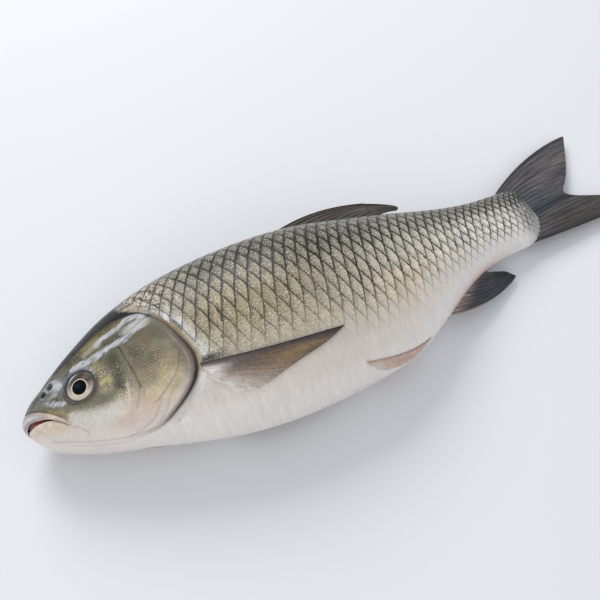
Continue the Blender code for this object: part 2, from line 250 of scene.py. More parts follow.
def skin(station, degrees, lift=0.0):
    """Points on the body, lifted along the outward direction by a length in metres."""
    station, degrees = np.broadcast_arrays(np.asarray(station, float),
                                           np.asarray(degrees, float))
    back, belly, width, middle = section(station)
    angle = np.radians(degrees)
    across = width * power(np.sin(angle))
    height = (back + belly) / 2 + (back - belly) / 2 * power(np.cos(angle))
    point = np.stack((station, height, middle + across), -1) * STANDARD_LENGTH
    if np.ndim(lift) or lift:
        point = point + outward(station, degrees) * np.asarray(lift)[..., None]
    return point


def outward(station, degrees):
    """The directions that point out of the body at places on its skin."""
    station = np.maximum(station, NOSE_TIP)
    along = skin(station + SMALL_STEP, degrees) - skin(station - SMALL_STEP, degrees)
    around = skin(station, degrees + SMALL_TURN) - skin(station, degrees - SMALL_TURN)
    normal = np.cross(around, along)
    return normal / np.linalg.norm(normal, axis=-1, keepdims=True)


def side_angle(degrees, side):
    """Angles on the left side, or their mirror on the right side."""
    return degrees if side > 0 else 360 - degrees


def find_origin():
    """Where the snout's own frame lies, found from the left eyeball of the solids."""
    low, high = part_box("eye_left")
    middle = np.array((low + high) / 2)
    return middle - skin(EYE_STATION, EYE_ANGLE, EYE_PROUD - EYE_HALF_DEPTH)


ORIGIN = find_origin()
TABLE_SOFTNESS = 0.7 * MM


def placed(points):
    """Points in the shared frame, pressed flat where the fish rests on the table."""
    points = points + ORIGIN
    low = points[..., 2] < TABLE_SOFTNESS
    pressed = TABLE_SOFTNESS * np.exp(points[..., 2] / TABLE_SOFTNESS - 1)
    points[..., 2] = np.where(low, pressed, points[..., 2])
    return points


def make_mesh(name, vertices, faces, colours=None, values=None):
    """A smooth-shaded object with colours and named values on its vertices."""
    mesh = bpy.data.meshes.new(name)
    mesh.from_pydata(vertices.reshape(-1, 3).tolist(), [], faces.tolist())
    if colours is not None:
        layer = mesh.attributes.new("paint", "FLOAT_COLOR", "POINT")
        rgba = np.concatenate((colours.reshape(-1, 3), np.ones((len(mesh.vertices), 1))), 1)
        layer.data.foreach_set("color", rgba.astype(np.float32).ravel())
    for key, value in (values or {}).items():
        layer = mesh.attributes.new(key, "FLOAT", "POINT")
        layer.data.foreach_set("value", np.asarray(value, np.float32).ravel())
    mesh.shade_smooth()
    made = bpy.data.objects.new(name, mesh)
    bpy.context.scene.collection.objects.link(made)
    return made


def grid_faces(rows, columns, closed=False):
    """The quads of a grid of points, which may close on itself round its rows."""
    wide = columns if closed else columns - 1
    row, column = np.meshgrid(np.arange(rows - 1), np.arange(wide), indexing="ij")
    after = (column + 1) % columns
    quads = (row * columns + column, row * columns + after,
             (row + 1) * columns + after, (row + 1) * columns + column)
    return np.stack(quads, -1).reshape(-1, 4)


def distance_to(points, route):
    """How far points lie from a route of 3D points."""
    best = np.full(points.shape[:-1], np.inf)
    for start, end in zip(route[:-1], route[1:]):
        span = end - start
        share = np.clip(((points - start) @ span) / (span @ span), 0, 1)
        gap = np.linalg.norm(points - start - share[..., None] * span, axis=-1)
        best = np.minimum(best, gap)
    return best


def on_side(points, route, side):
    """Distance in millimetres to a smooth route of stations and angles on one side."""
    path = through(route, np.linspace(0, 1, 5 * len(route)))
    return distance_to(points, skin(path[:, 0], side_angle(path[:, 1], side))) / MM


WAVES = 9


def wobble(points, size, seed):
    """Soft irregular waves of about the given size, from -1 to 1."""
    random = np.random.default_rng(seed)
    total = np.zeros(points.shape[:-1])
    for _ in range(WAVES):
        direction = random.normal(size=3)
        direction *= 2 * math.pi / size * random.uniform(0.5, 1.3) / np.linalg.norm(direction)
        total += np.sin(points @ direction + random.uniform(0, 6.28))
    return total / (WAVES / 2)


def mixed(colour, other, share):
    """Colours moved towards another colour by a share for each place."""
    return colour + (other - colour) * np.clip(share, 0, 1)[..., None]


def layered(colour, *layers):
    """A colour with others laid over it in turn, each with its share for each place."""
    for tint, share in layers:
        colour = mixed(colour, srgb(*tint), share)
    return colour


def hill(offset, width):
    """1 where the offset is 0, falling off smoothly to both sides over the width."""
    return np.exp(-(offset / width) ** 2)


# Colours of the trunk from the back to the belly, at the angle round the body
FLANK_ANGLES = (0, 48, 66, 90, 112, 134, 152, 180)
FLANK_FRONT = ((66, 68, 65), (94, 92, 82), (98, 94, 81), (136, 129, 111), (168, 160, 143),
               (212, 204, 197), (220, 213, 207), (214, 207, 202))
FLANK_REAR = ((72, 74, 72), (106, 105, 97), (138, 135, 124), (190, 184, 172), (204, 196, 184),
              (222, 216, 210), (231, 228, 225), (222, 217, 214))

# Soft patches on the flank: station and its reach, angle and its reach, colour, strength
FLANK_PATCHES = (
    (0.37, 0.09, 86, 13, (158, 134, 88), 0.40),
    (0.23, 0.07, 55, 13, (206, 188, 170), 0.75),
    (0.44, 0.16, 137, 10, (216, 196, 186), 0.28),
    (0.64, 0.06, 108, 12, (182, 158, 120), 0.40),
    (0.66, 0.08, 128, 14, (212, 196, 178), 0.32),
)


def banded(angles, bands, degrees):
    """Colours that run smoothly through bands at given angles."""
    channels = zip(*(srgb(*band) for band in bands))
    return np.stack([np.interp(degrees, angles, channel) for channel in channels], -1)


def half_angle(degrees):
    """The angle from the back, 0 to 180, on either side."""
    return 180 - np.abs(180 - np.mod(degrees, 360))


def grittiness(turned):
    """How uneven the skin's colour is: less on the belly than on the back."""
    return 1 - 0.75 * smooth(turned, 112, 136)


def trunk_colour(station, degrees, points):
    """The skin's colour on the trunk, without the dark net between its scales; it also holds a
    painted shadow above the pectoral fin's root and a painted highlight on the shoulder.
    """
    plain = half_angle(degrees)
    turned = plain + 4 * wobble(points, 0.05, 3)
    colour = mixed(banded(FLANK_ANGLES, FLANK_FRONT, turned),
                   banded(FLANK_ANGLES, FLANK_REAR, turned), smooth(station, 0.48, 0.74))
    for place, reach, angle, spread, tint, strength in FLANK_PATCHES:
        share = hill(station - place, reach) * hill(turned - angle, spread)
        colour = mixed(colour, srgb(*tint), strength * share)
    silver = smooth(station, 0.74, 0.90) * smooth(turned, 58, 84)
    # A pale band on the shoulder behind the gill opening: partly the shoulder's own silvery colour,
    # partly a painted wet highlight.
    ragged = 0.006 * wobble(points, 0.012, 21)
    shoulder = hill(station - scales_begin(turned) - 0.002 + ragged, 0.012)
    shoulder = shoulder * smooth(turned, 58, 80) * smooth(turned, 150, 118)
    # A painted shadow, near black, in the notch above the pectoral fin's root.
    notch_shadow = smooth(station, 0.284, 0.290) * smooth(station, 0.336, 0.306)
    notch_shadow = notch_shadow * hill(plain - 110.5, 2.4)
    base = hill(station - 0.835, 0.10) * smooth(turned, 140, 165)
    return layered(colour,
                   ((218, 217, 218), 0.42 * silver),
                   ((214, 214, 214), 0.9 * shoulder),
                   ((18, 17, 17), 0.97 * notch_shadow),
                   ((206, 160, 150), 0.40 * base),
                   ((120, 122, 120), 0.75 * smooth(station, 0.95, 1.0)))


def net_strength(station, degrees):
    """How dark the net between the scales is, from none on the belly to full above."""
    turned = half_angle(degrees)
    fade = 116 + 14 * smooth(station, 0.46, 0.58) + 12 * smooth(station, 0.66, 0.85)
    strength = 1 - 0.45 * smooth(turned, 62, 88) - 0.52 * smooth(turned, fade - 36, fade + 12)
    front = 0.62 + 0.38 * smooth(station, 0.23, 0.33)
    top = 0.55 + 0.45 * smooth(turned, 26, 46)
    return strength * front * top


# Colours of the head from the top to the throat, at the angle round the body
HEAD_ANGLES = (0, 34, 48, 58, 66, 76, 90, 102, 112, 122, 132, 145, 165, 180)
HEAD_BANDS = ((58, 60, 55), (54, 56, 50), (42, 42, 34), (58, 54, 38), (86, 80, 59),
              (101, 96, 80), (111, 105, 90), (123, 116, 100), (141, 134, 117), (190, 178, 162),
              (216, 204, 193), (216, 207, 200), (214, 206, 200), (210, 202, 196))

# Strokes painted on both sides of the head: route of stations and angles, half width in
# millimetres, softness, colour, strength
HEAD_STROKES = (
    (((0.128, 62), (0.140, 62), (0.152, 62)), 1.6, 2.4, (128, 116, 62), 0.80),
    (((0.158, 61), (0.178, 61), (0.196, 62)), 1.4, 2.6, (92, 78, 46), 0.75),
    (((0.100, 60), (0.115, 64), (0.130, 68)), 2.0, 2.2, (56, 50, 32), 0.80),
    (((0.128, 70), (0.140, 70), (0.152, 72)), 1.6, 2.0, (172, 163, 138), 0.70),
    (((0.200, 76), (0.215, 75), (0.232, 77)), 2.2, 2.4, (176, 172, 160), 0.75),
    (((0.024, 71), (0.036, 64), (0.046, 57)), 3.2, 2.4, (76, 77, 66), 0.75),
    (((0.034, 82), (0.050, 90), (0.062, 96)), 2.4, 2.4, (104, 102, 92), 0.65),
    (((0.016, 81), (0.030, 89), (0.050, 99), (0.066, 107), (0.076, 113)), 1.0, 1.4,
     (154, 142, 102), 0.80),
    (((0.138, 87), (0.144, 96), (0.146, 104)), 2.2, 3.2, (146, 134, 98), 0.70),
    (((0.140, 100), (0.148, 99), (0.154, 101)), 0.8, 1.6, (196, 178, 128), 0.75),
    (((0.166, 88), (0.168, 98), (0.164, 108)), 2.4, 4.0, (70, 72, 58), 0.80),
    (((0.090, 108), (0.115, 113), (0.145, 114)), 2.6, 4.0, (112, 108, 88), 0.60),
    (((0.188, 85), (0.196, 88), (0.204, 92)), 2.4, 4.0, (70, 72, 64), 0.75),
    (((0.205, 86), (0.225, 92), (0.235, 100)), 5.0, 5.0, (118, 108, 88), 0.65),
    (((0.236, 93), (0.250, 96)), 1.6, 5.0, (150, 146, 122), 0.55),
    (((0.186, 84), (0.191, 95), (0.196, 108), (0.196, 118)), 0.8, 1.2, (136, 126, 92), 0.55),
    (((0.200, 112), (0.225, 110), (0.246, 104)), 5.0, 6.0, (162, 148, 122), 0.60),
    (((0.200, 126), (0.222, 124), (0.244, 116)), 4.0, 6.0, (208, 194, 168), 0.60),
    (((0.196, 126), (0.208, 123), (0.222, 117), (0.236, 110)), 1.4, 4.4, (184, 166, 122), 0.55),
    (((0.232, 124), (0.246, 118), (0.256, 111)), 1.0, 3.0, (172, 152, 114), 0.45),
    (((0.085, 119), (0.115, 124), (0.150, 124)), 2.8, 3.0, (204, 203, 198), 0.65),
    (((0.100, 130), (0.125, 131), (0.145, 131)), 3.2, 3.0, (208, 206, 202), 0.55),
    (((0.148, 134), (0.164, 128), (0.172, 119), (0.175, 110)), 0.6, 1.4, (222, 216, 204), 0.55),
    (((0.166, 134), (0.176, 126), (0.182, 118)), 2.2, 4.0, (196, 168, 142), 0.45),
    (((0.150, 140), (0.172, 138), (0.196, 134)), 4.0, 6.0, (208, 182, 168), 0.55),
)

# Where the wet skin is painted with ragged streaks of pale reflection, where it is black and where
# it is
# speckled with painted gold glints: route, half width in millimetres, softness, strength
PAINTED_SHINE_STREAKS = (
    (((0.150, 69), (0.162, 68), (0.175, 69), (0.190, 68), (0.202, 66), (0.216, 67), (0.230, 71)),
     2.1, 2.6, 1.0),
    (((0.104, 74), (0.120, 77), (0.135, 79), (0.150, 80), (0.168, 80), (0.188, 81), (0.204, 80),
      (0.226, 78)), 1.9, 2.8, 1.0),
    (((0.192, 75), (0.212, 73), (0.230, 76)), 2.0, 2.4, 0.72),
    (((0.150, 76), (0.166, 76), (0.180, 76)), 0.7, 2.0, 0.42),
    (((0.070, 68), (0.074, 74), (0.078, 81)), 2.2, 2.6, 0.85),
    (((0.048, 58), (0.054, 65), (0.058, 72)), 0.6, 1.4, 0.65),
    (((0.050, 86), (0.064, 94), (0.080, 100)), 1.2, 2.8, 0.85),
    (((0.056, 83), (0.070, 86)), 0.9, 2.2, 0.65),
)
DARK_BANDS = (
    (((0.076, 49), (0.100, 50), (0.122, 50), (0.142, 49), (0.165, 50), (0.185, 52), (0.200, 54),
      (0.214, 58)), 2.2, 2.0, 1.0),
    (((0.150, 42), (0.172, 42), (0.190, 42)), 5.4, 2.0, 1.0),
    (((0.186, 36), (0.198, 42), (0.212, 56), (0.226, 65), (0.240, 72)), 1.3, 1.6, 0.95),
    (((0.188, 56), (0.206, 60), (0.222, 66)), 1.2, 1.8, 0.85),
)
SPECKLED = (
    (((0.134, 87), (0.146, 96), (0.148, 104)), 3.2, 4.0, 1.0),
    (((0.086, 118), (0.115, 124), (0.150, 125), (0.168, 116)), 4.4, 4.0, 1.0),
    (((0.200, 90), (0.225, 100), (0.235, 108)), 5.0, 6.0, 0.35),
    (((0.200, 122), (0.222, 116), (0.240, 108)), 2.0, 3.0, 0.70),
    (((0.170, 96), (0.178, 110), (0.176, 122)), 2.6, 4.0, 0.55),
    (((0.110, 62), (0.150, 65), (0.190, 64)), 3.4, 3.0, 0.45),
)
MASK_STROKES = {"wet": PAINTED_SHINE_STREAKS, "dark": DARK_BANDS, "speckled": SPECKLED}

# The fan of fine ridges on the gill cover: its centre, reach in millimetres and directions
FAN_CENTRE = (0.176, 80)
FAN_REACH = (5.0, 10.0, 30.0, 37.0)
FAN_TURN = (-80, -66, 4, 16)

# Grooves: route, half width and depth in millimetres, and how much darker each is painted as shade
# in its crease
HEAD_GROOVES = (
    (((0.179, 83), (0.185, 93), (0.190, 104), (0.192, 116)), 0.6, 0.45, 0.75),
    (((0.192, 112), (0.186, 122), (0.176, 131)), 0.7, 0.25, 0.25),
    (((0.264, 101), (0.252, 111), (0.232, 120), (0.205, 130)), 0.55, 0.35, 0.45),
    (((0.016, 85), (0.030, 93), (0.050, 104), (0.066, 111), (0.076, 117)), 0.5, 0.20, 0.40),
    (((0.128, 73), (0.145, 74), (0.160, 75), (0.176, 76), (0.192, 74), (0.212, 71)), 0.7, 0.30,
     0.45),
    (((0.092, 74), (0.104, 73), (0.114, 77), (0.122, 82)), 0.5, 0.40, 0.60),
    (((0.040, 149), (0.070, 152), (0.110, 156), (0.150, 157), (0.190, 152)), 0.8, 0.45, 0.25),
    (((0.060, 159), (0.100, 164), (0.150, 166)), 0.8, 0.40, 0.20),
    (((0.215, 128), (0.200, 139), (0.178, 149), (0.150, 158)), 0.8, 0.35, 0.22),
    (((0.228, 128), (0.212, 140), (0.188, 151), (0.160, 160)), 0.8, 0.35, 0.22),
    (((0.083, 130), (0.092, 135), (0.098, 142)), 0.8, 0.45, 0.25),
)
# Ridges: route, half width and height in millimetres
HEAD_RIDGES = (
    (((0.112, 71), (0.135, 68), (0.170, 68), (0.200, 64), (0.222, 67)), 2.0, 0.50),
    (((0.090, 72), (0.120, 75), (0.150, 80), (0.190, 81), (0.226, 76)), 1.6, 0.45),
)


def lip_share(station, height, border):
    """How far a place lies from the mouth line towards a lip's outer border, 0 to 1."""
    start = mouth_line(station)
    return (height - start) / (border(station) - start)


def bulge(share):
    """A rounded swelling between 0 and 1, steeper towards the outer border."""
    inside = np.clip(share, 0, 1)
    return np.where((share > 0) & (share < 1), np.sin(math.pi * inside ** 0.8) ** 0.75, 0)


def head_relief(station, degrees, points):
    """How far the head stands out of its plain form, in metres, its colour and its masks."""
    turned = half_angle(degrees)
    height = points[..., 1] / STANDARD_LENGTH
    ahead = 5 * smooth(station, 0.17, 0.11) * smooth(turned, 100, 70)
    colour = banded(HEAD_ANGLES, HEAD_BANDS, turned + ahead + 3 * wobble(points, 0.03, 5))
    rise = 0.25 * MM * wobble(points, 0.030, 7) * smooth(station, 0.03, 0.08)
    masks = {name: np.zeros_like(rise) for name in (*MASK_STROKES, "fan", "fan_turn")}
    for side in (1, -1):
        near = (np.mod(degrees, 360) <= 180) == (side > 0)
        for route, half, soft, tint, strength in HEAD_STROKES:
            share = strength * near * stroke(points, route, half, soft, side)
            colour = mixed(colour, srgb(*tint), share)
        for name, strokes in MASK_STROKES.items():
            for route, half, soft, strength in strokes:
                share = strength * near * stroke(points, route, half, soft, side)
                masks[name] = np.maximum(masks[name], share)
        for name, value in zip(("fan_turn", "fan"), fan(points, side)):
            masks[name] = np.where(near, value, masks[name])
        for route, half, depth, dark in HEAD_GROOVES:
            share = hill(on_side(points, route, side), half) * near
            rise = rise - depth * MM * share
            # Each groove is painted darker, as shade in the crease.
            colour = mixed(colour, colour * 0.35, dark * share)
        for route, half, tall in HEAD_RIDGES:
            rise = rise + tall * MM * hill(on_side(points, route, side), half) * near
        rise, colour = orbit(points, rise, colour, side)
        rise, colour = nostrils(points, rise, colour, side)
    nose = smooth(station, 0.100, 0.045) * smooth(turned, 120, 100)
    patches = nose * smooth(wobble(points, 0.009, 41), 0.0, 0.8)
    # A painted highlight on the wet snout in front of the eye.
    pale = hill(station - 0.073, 0.0075) * hill(turned - 76, 6.5)
    colour = layered(colour,
                     ((132, 134, 134), 0.35 * nose * smooth(turned, 94, 78)),
                     ((56, 54, 42), 0.75 * patches),
                     ((206, 209, 216), 0.85 * pale))
    crown = smooth(turned, 50, 45) * smooth(turned, 34, 44) * smooth(station, 0.055, 0.100)
    masks["dark"] = np.maximum(masks["dark"], crown)
    rise, colour = lips(station, height, rise, colour)
    return rise, colour, masks


def stroke(points, route, half, soft, side):
    """1 inside a stroke of the given half width, falling to 0 over its softness."""
    return smooth(on_side(points, route, side), half + soft, max(half - soft / 2, 0.1))


def fan(points, side):
    """The direction of the gill cover's fine ridges, in degrees, and where they show."""
    centre = skin(FAN_CENTRE[0], side_angle(FAN_CENTRE[1], side))
    offset = (points - centre) / MM
    reach = np.hypot(offset[..., 0], offset[..., 1])
    turn = np.degrees(np.arctan2(offset[..., 1], offset[..., 0]))
    covered = smooth(reach, *FAN_REACH[:2]) * (1 - smooth(reach, *FAN_REACH[2:]))
    covered = covered * smooth(turn, *FAN_TURN[:2]) * (1 - smooth(turn, *FAN_TURN[2:]))
    return turn, covered * (0.75 + 0.25 * wobble(points, 0.009, 32))


def orbit(points, rise, colour, side):
    """The ring of skin round an eye, which dives under the eyeball."""
    middle = skin(EYE_STATION, side_angle(EYE_ANGLE, side))
    out = outward(EYE_STATION, side_angle(EYE_ANGLE, side))
    offset = points - middle
    flat = offset - (offset @ out)[..., None] * out
    gap = np.where(offset @ out > -0.012, np.linalg.norm(flat, axis=-1), 1.0) / MM
    rise = rise + 1.05 * MM * hill(gap - 10.9, 1.25) - 4.5 * MM * smooth(gap, 9.7, 8.5)
    # The ring is painted lighter and bluer towards its top, partly its own blue-grey colour, partly
    # painted light from above; where the skin dives under the eyeball it is painted near black as
    # shade.
    above = smooth(flat[..., 1] / MM, -4.0, 8.0)
    ring = mixed(srgb(66, 68, 66), srgb(118, 124, 136), above)
    colour = mixed(colour, ring, 0.85 * hill(gap - 10.7, 1.5))
    return rise, mixed(colour, srgb(20, 22, 26), smooth(gap, 9.9, 9.3))


def nostrils(points, rise, colour, side):
    """Two small pits with raised rims in front of an eye."""
    for station, degrees, width in NOSTRILS:
        middle = skin(station, side_angle(degrees, side))
        gap = np.linalg.norm(points - middle, axis=-1) / (width / 2)
        rim = hill(gap - 1.35, 0.32)
        rise = rise + 0.6 * MM * rim - 2.0 * MM * smooth(gap, 1.05, 0.45)
        # Each pit is painted near black as the shade inside it.
        colour = layered(colour,
                         ((66, 68, 62), 0.6 * hill(gap - 1.9, 0.40)),
                         ((168, 172, 174), 0.7 * hill(gap - 1.35, 0.22)),
                         ((28, 30, 28), 0.95 * smooth(gap, 1.20, 0.55)))
    return rise, colour


def lips(station, height, rise, colour):
    """Both lips, with a thin fold along their outer borders."""
    ahead = smooth(station, MOUTH_END + 0.002, MOUTH_END - 0.010)
    upper = lip_share(station, height, upper_lip_line)
    lower = lip_share(station, height, lower_lip_line)
    # The fold along the upper lip's border dips and is painted dark as shade in the crease.
    fold = hill(upper - 1.06, 0.07) * ahead
    seam = hill(upper, 0.07) * ahead
    seam = seam * smooth(station, MOUTH_SLIT_END - 0.01, MOUTH_SLIT_END + 0.01)
    rise = rise + 1.3 * MM * bulge(upper) * ahead + 0.9 * MM * bulge(lower) * ahead
    rise = rise - 0.35 * MM * fold - 0.6 * MM * seam
    lip = mixed(srgb(158, 146, 146), srgb(206, 184, 166), smooth(station, 0.02, 0.06))
    on_upper = smooth(upper, -0.05, 0.08) * smooth(upper, 1.02, 0.92) * ahead
    on_lower = smooth(lower, -0.05, 0.08) * smooth(lower, 1.10, 0.80) * ahead
    # A painted highlight along the crest of the upper lip at the front.
    lip_crest_highlight = hill(upper - 0.52, 0.16) * smooth(station, 0.050, 0.018) * ahead
    colour = layered(mixed(colour, lip, 0.92 * on_upper),
                     ((220, 216, 220), 0.65 * lip_crest_highlight),
                     ((214, 197, 180), 0.88 * on_lower),
                     ((60, 54, 50), 0.75 * fold),
                     ((120, 84, 70), 0.7 * seam))
    return rise, colour


def jaw_shift(station, height):
    """How far the lower jaw sits back from the upper lip, in metres."""
    below = smooth(mouth_line(station) - height, 0.000, 0.006)
    return 1.0 * MM * below * smooth(station, 0.050, 0.010)


# The fold at the rear edge of a gill cover: shift along the body and share of the step,
# from the cover's outer corner, under it and out again onto the shoulder
GILL_FOLD = ((0.0000, 1.00), (0.0006, 0.86), (0.0006, 0.62), (-0.0006, 0.42), (-0.0040, 0.25),
             (-0.0070, 0.00), (-0.0070, -0.30), (-0.0030, -0.42), (0.0020, -0.36))
NOSE_RINGS = 33
HEAD_RINGS = 170
REAR_RINGS = 21

# How far the gill cover's lift reaches ahead of its edge, the thickness of its membrane and
# how deep the shoulder lies behind it, as a share of the cover's step
COVER_REACH = 0.120
MEMBRANE = 0.25 * MM
SHOULDER_DEPTH = 0.36

# Where the head's skin ends under the scales, and the skin of the trunk under the scales
HEAD_END = 0.315
TRUNK_START = 0.300
TRUNK_RINGS = 130
TRUNK_DEPTH = 0.12 * MM


def head_grid():
    """Stations, angles and gill-cover lift of the head's mesh, ring by ring."""
    half = np.concatenate((np.arange(0, 40, 1.6), np.arange(40, 136, 0.8),
                           np.arange(136, 180, 1.6)))
    degrees = np.concatenate((half, 360 - half[:0:-1]))
    turned = half_angle(degrees)
    edge = gill_edge(turned)
    around = (turned - GILL_COVER_TOP) / (GILL_COVER_LOW - GILL_COVER_TOP)
    ends = smooth(np.minimum(around, 1 - around), 0, GILL_COVER_END)
    rings = []
    for turn in np.linspace(0, math.pi / 2, NOSE_RINGS + 1)[:-1]:
        rings.append((np.full_like(degrees, NOSE_ROUND * (1 - math.cos(turn))), 0 * degrees))
    for share in np.linspace(0, 1, HEAD_RINGS + 1)[:-1]:
        station = NOSE_ROUND + (edge - NOSE_ROUND) * share
        along = np.clip(1 - (edge - station) / COVER_REACH, 0, 1)
        rings.append((station, GILL_COVER_STEP * np.sin(math.pi / 2 * along) * ends))
    for shift, share in GILL_FOLD:
        step = GILL_COVER_STEP - MEMBRANE * ends
        rings.append((edge + shift * ends, step * share * ends))
    last = rings[-1][0]
    for share in np.linspace(0, 1, REAR_RINGS + 1)[1:]:
        sunk = -SHOULDER_DEPTH * GILL_COVER_STEP * ends * smooth(share, 0.5, 0)
        rings.append((last + (HEAD_END - last) * share, sunk))
    station, lift = np.stack(rings, 1)
    return station, np.broadcast_to(degrees, station.shape), lift


def head():
    """The head's skin, from the snout to under the first scales."""
    station, degrees, cover = head_grid()
    points = skin(station, degrees)
    rise, colour, masks = head_relief(station, degrees, points)
    turned = half_angle(degrees)
    edge = gill_edge(turned)
    past = station - edge
    behind = smooth(past, 0.002, 0.010)
    body = trunk_colour(station, degrees, points)
    colour = mixed(colour, body, np.maximum(behind, smooth(past, 0, 0.05)))
    on_flank = smooth(turned, 52, 64) * smooth(turned, 166, 136)
    band = smooth(past, -0.0105, -0.0050) * (1 - behind)
    band = band * smooth(turned, 78, 100) * smooth(turned, 166, 142)
    # A painted highlight along the gill membrane's inner edge.
    membrane_highlight = hill(past + 0.0085, 0.0012) * smooth(turned, 84, 96) * on_flank
    outer = hill(past + 0.0005, 0.0022) * (1 - behind) * on_flank
    crescent = hill(past - 0.008, 0.0045) * smooth(turned, 68, 76) * smooth(turned, 100, 86)
    under = np.arange(len(station))[:, None] >= NOSE_RINGS + HEAD_RINGS + 2
    # The gill slit under the cover is painted near black as shade.
    gill_slit_shade = under * smooth(past, 0.0055, 0.001) * on_flank
    tan = hill(past - 0.0085, 0.005) * smooth(turned, 76, 88) * smooth(turned, 122, 108)
    colour = layered(colour,
                     ((126, 112, 112), 0.62 * band),
                     ((190, 178, 178), 0.38 * membrane_highlight),
                     ((60, 48, 42), 0.75 * outer),
                     ((124, 88, 48), 0.85 * crescent),
                     ((36, 26, 19), 0.94 * gill_slit_shade),
                     ((176, 158, 122), 0.65 * tan))
    height = points[..., 1] / STANDARD_LENGTH
    normal = outward(station, degrees)
    normal[0] = (-1, 0, 0)
    points = points + normal * (rise * (1 - behind) + cover)[..., None]
    points[..., 0] += jaw_shift(station, height)
    masks = {name: mask * (1 - behind) for name, mask in masks.items()}
    masks["grit"] = grittiness(turned)
    masks["peppered"] = behind * smooth(turned, 78, 64) * smooth(turned, 24, 42)
    faces = grid_faces(*station.shape, closed=True)[:, ::-1]
    made = make_mesh("head", points, faces, colour, masks)
    cut_mouth(made)
    return made


def plain_object(name, vertices, faces):
    """A helper solid that only cuts others."""
    mesh = bpy.data.meshes.new(name)
    mesh.from_pydata(vertices.reshape(-1, 3).tolist(), [], faces)
    made = bpy.data.objects.new(name, mesh)
    bpy.context.scene.collection.objects.link(made)
    return made


def subtract(made, cutter):
    """Cut one object with another, which is then removed."""
    change = made.modifiers.new("cut", "BOOLEAN")
    change.operation = "DIFFERENCE"
    change.solver = "EXACT"
    change.object = cutter
    graph = bpy.context.evaluated_depsgraph_get()
    before = made.data
    made.data = bpy.data.meshes.new_from_object(made.evaluated_get(graph))
    made.modifiers.clear()
    bpy.data.meshes.remove(before)
    old = cutter.data
    bpy.data.objects.remove(cutter)
    bpy.data.meshes.remove(old)


def mouth_lining():
    """The inside of the mouth, a smaller blunt copy of the snout, painted darker towards the throat
    as shade.
    """
    nose = LINING_START + NOSE_ROUND * (1 - np.cos(np.linspace(0.10, math.pi / 2, 16)))
    station = np.concatenate((nose, np.linspace(nose[-1] + 0.002, LINING_END, 14)))
    station, degrees = np.meshgrid(station, np.arange(88, 273, 4), indexing="ij")
    back, belly, _, middle = section(station)
    axis = np.stack((station, (back + belly) / 2, middle), -1) * STANDARD_LENGTH
    reach = np.clip((station - LINING_START) / NOSE_ROUND, 0, 1)
    size = LINING_SIZE * np.sqrt(1 - (1 - reach) ** 2)
    points = axis + (skin(station, degrees) - axis) * size[..., None]
    # Painted shade: pale pink at the front, darkening to near black deeper in the mouth.
    colour = layered(srgb(206, 150, 132),
                     ((136, 66, 54), smooth(station, 0.010, 0.028)),
                     ((48, 20, 17), smooth(station, 0.030, 0.054)))
    faces = grid_faces(*station.shape)[:, ::-1]
    return make_mesh("mouth_lining", placed(points), faces, colour)


SLIT_ROWS = 25
SLIT_LENGTH = 0.15 * STANDARD_LENGTH


def cut_mouth(made):
    """Cut the slit between the lips out of the head's skin."""
    rows, columns = SLIT_ROWS, 2
    along, across = np.meshgrid(np.linspace(0, 1, rows), np.linspace(0, 1, columns),
                                indexing="ij")
    front = MOUTH_LINE[0][0]
    station = front + (MOUTH_SLIT_END - front) * along
    opening = np.minimum(1, 1.6 * (1 - along)) * (0.06 + 0.94 * smooth(station, 0.002, 0.022))
    gape = MOUTH_GAPE / STANDARD_LENGTH * (0.10 + 0.90 * opening)
    height = mouth_line(station) + gape * (across - 0.50)
    low = np.stack((station, height, np.zeros_like(station)), -1) * STANDARD_LENGTH
    high = low + (0, 0, SLIT_LENGTH)
    count = rows * columns
    side = grid_faces(rows, columns)
    faces = [tuple(face) for face in side] + [tuple(face[::-1] + count) for face in side]
    rim = list(range(0, count, columns)) + list(range(count - 1, 0, -columns))
    for first, second in zip(rim, rim[1:] + rim[:1]):
        faces.append((second, first, first + count, second + count))
    subtract(made, plain_object("mouth_slot", np.concatenate((low, high)), faces))


def move_to_frame(made):
    """Move a mesh from the snout's frame to the shared frame and press it on the table."""
    points = np.zeros(3 * len(made.data.vertices), np.float32)
    made.data.vertices.foreach_get("co", points)
    points = placed(points.reshape(-1, 3).astype(float))
    made.data.vertices.foreach_set("co", points.astype(np.float32).ravel())
    made.data.update()


def trunk():
    """The skin under the scales, from behind the head to the root of the tail fin."""
    station, degrees = np.meshgrid(np.linspace(TRUNK_START, TAIL_END, TRUNK_RINGS),
                                   np.arange(0, 360, 2.0), indexing="ij")
    colour = trunk_colour(station, degrees, skin(station, degrees))
    colour = mixed(colour, srgb(50, 50, 42), 0.8 * net_strength(station, degrees))
    points = skin(station, degrees, -TRUNK_DEPTH)
    grit = {"grit": grittiness(half_angle(degrees))}
    return make_mesh("trunk", placed(points), grid_faces(*station.shape, closed=True)[:, ::-1],
                     colour, grit)


def scale_centres():
    """Lattice places of all scales on one side: column and row, in steps."""
    fine = np.linspace(*LATTICE)
    columns = np.concatenate(([0], np.cumsum(np.diff(fine) / column_step(fine[1:]))))
    column, row = np.meshgrid(np.arange(0, columns[-1]), np.arange(-10, 11), indexing="ij")
    column = (column + 0.5 * (row % 2)).ravel()
    row = row.ravel()
    station = np.interp(column, columns, fine)
    degrees = 90 + row * row_step(station)
    rear = station + 0.5 * column_step(station)
    keep = rear > scales_begin(np.clip(degrees, 0, 180)) + 0.006
    keep &= (degrees > -3) & (degrees < 183) & (station < LAST_SCALE)
    return column[keep], row[keep], columns, fine


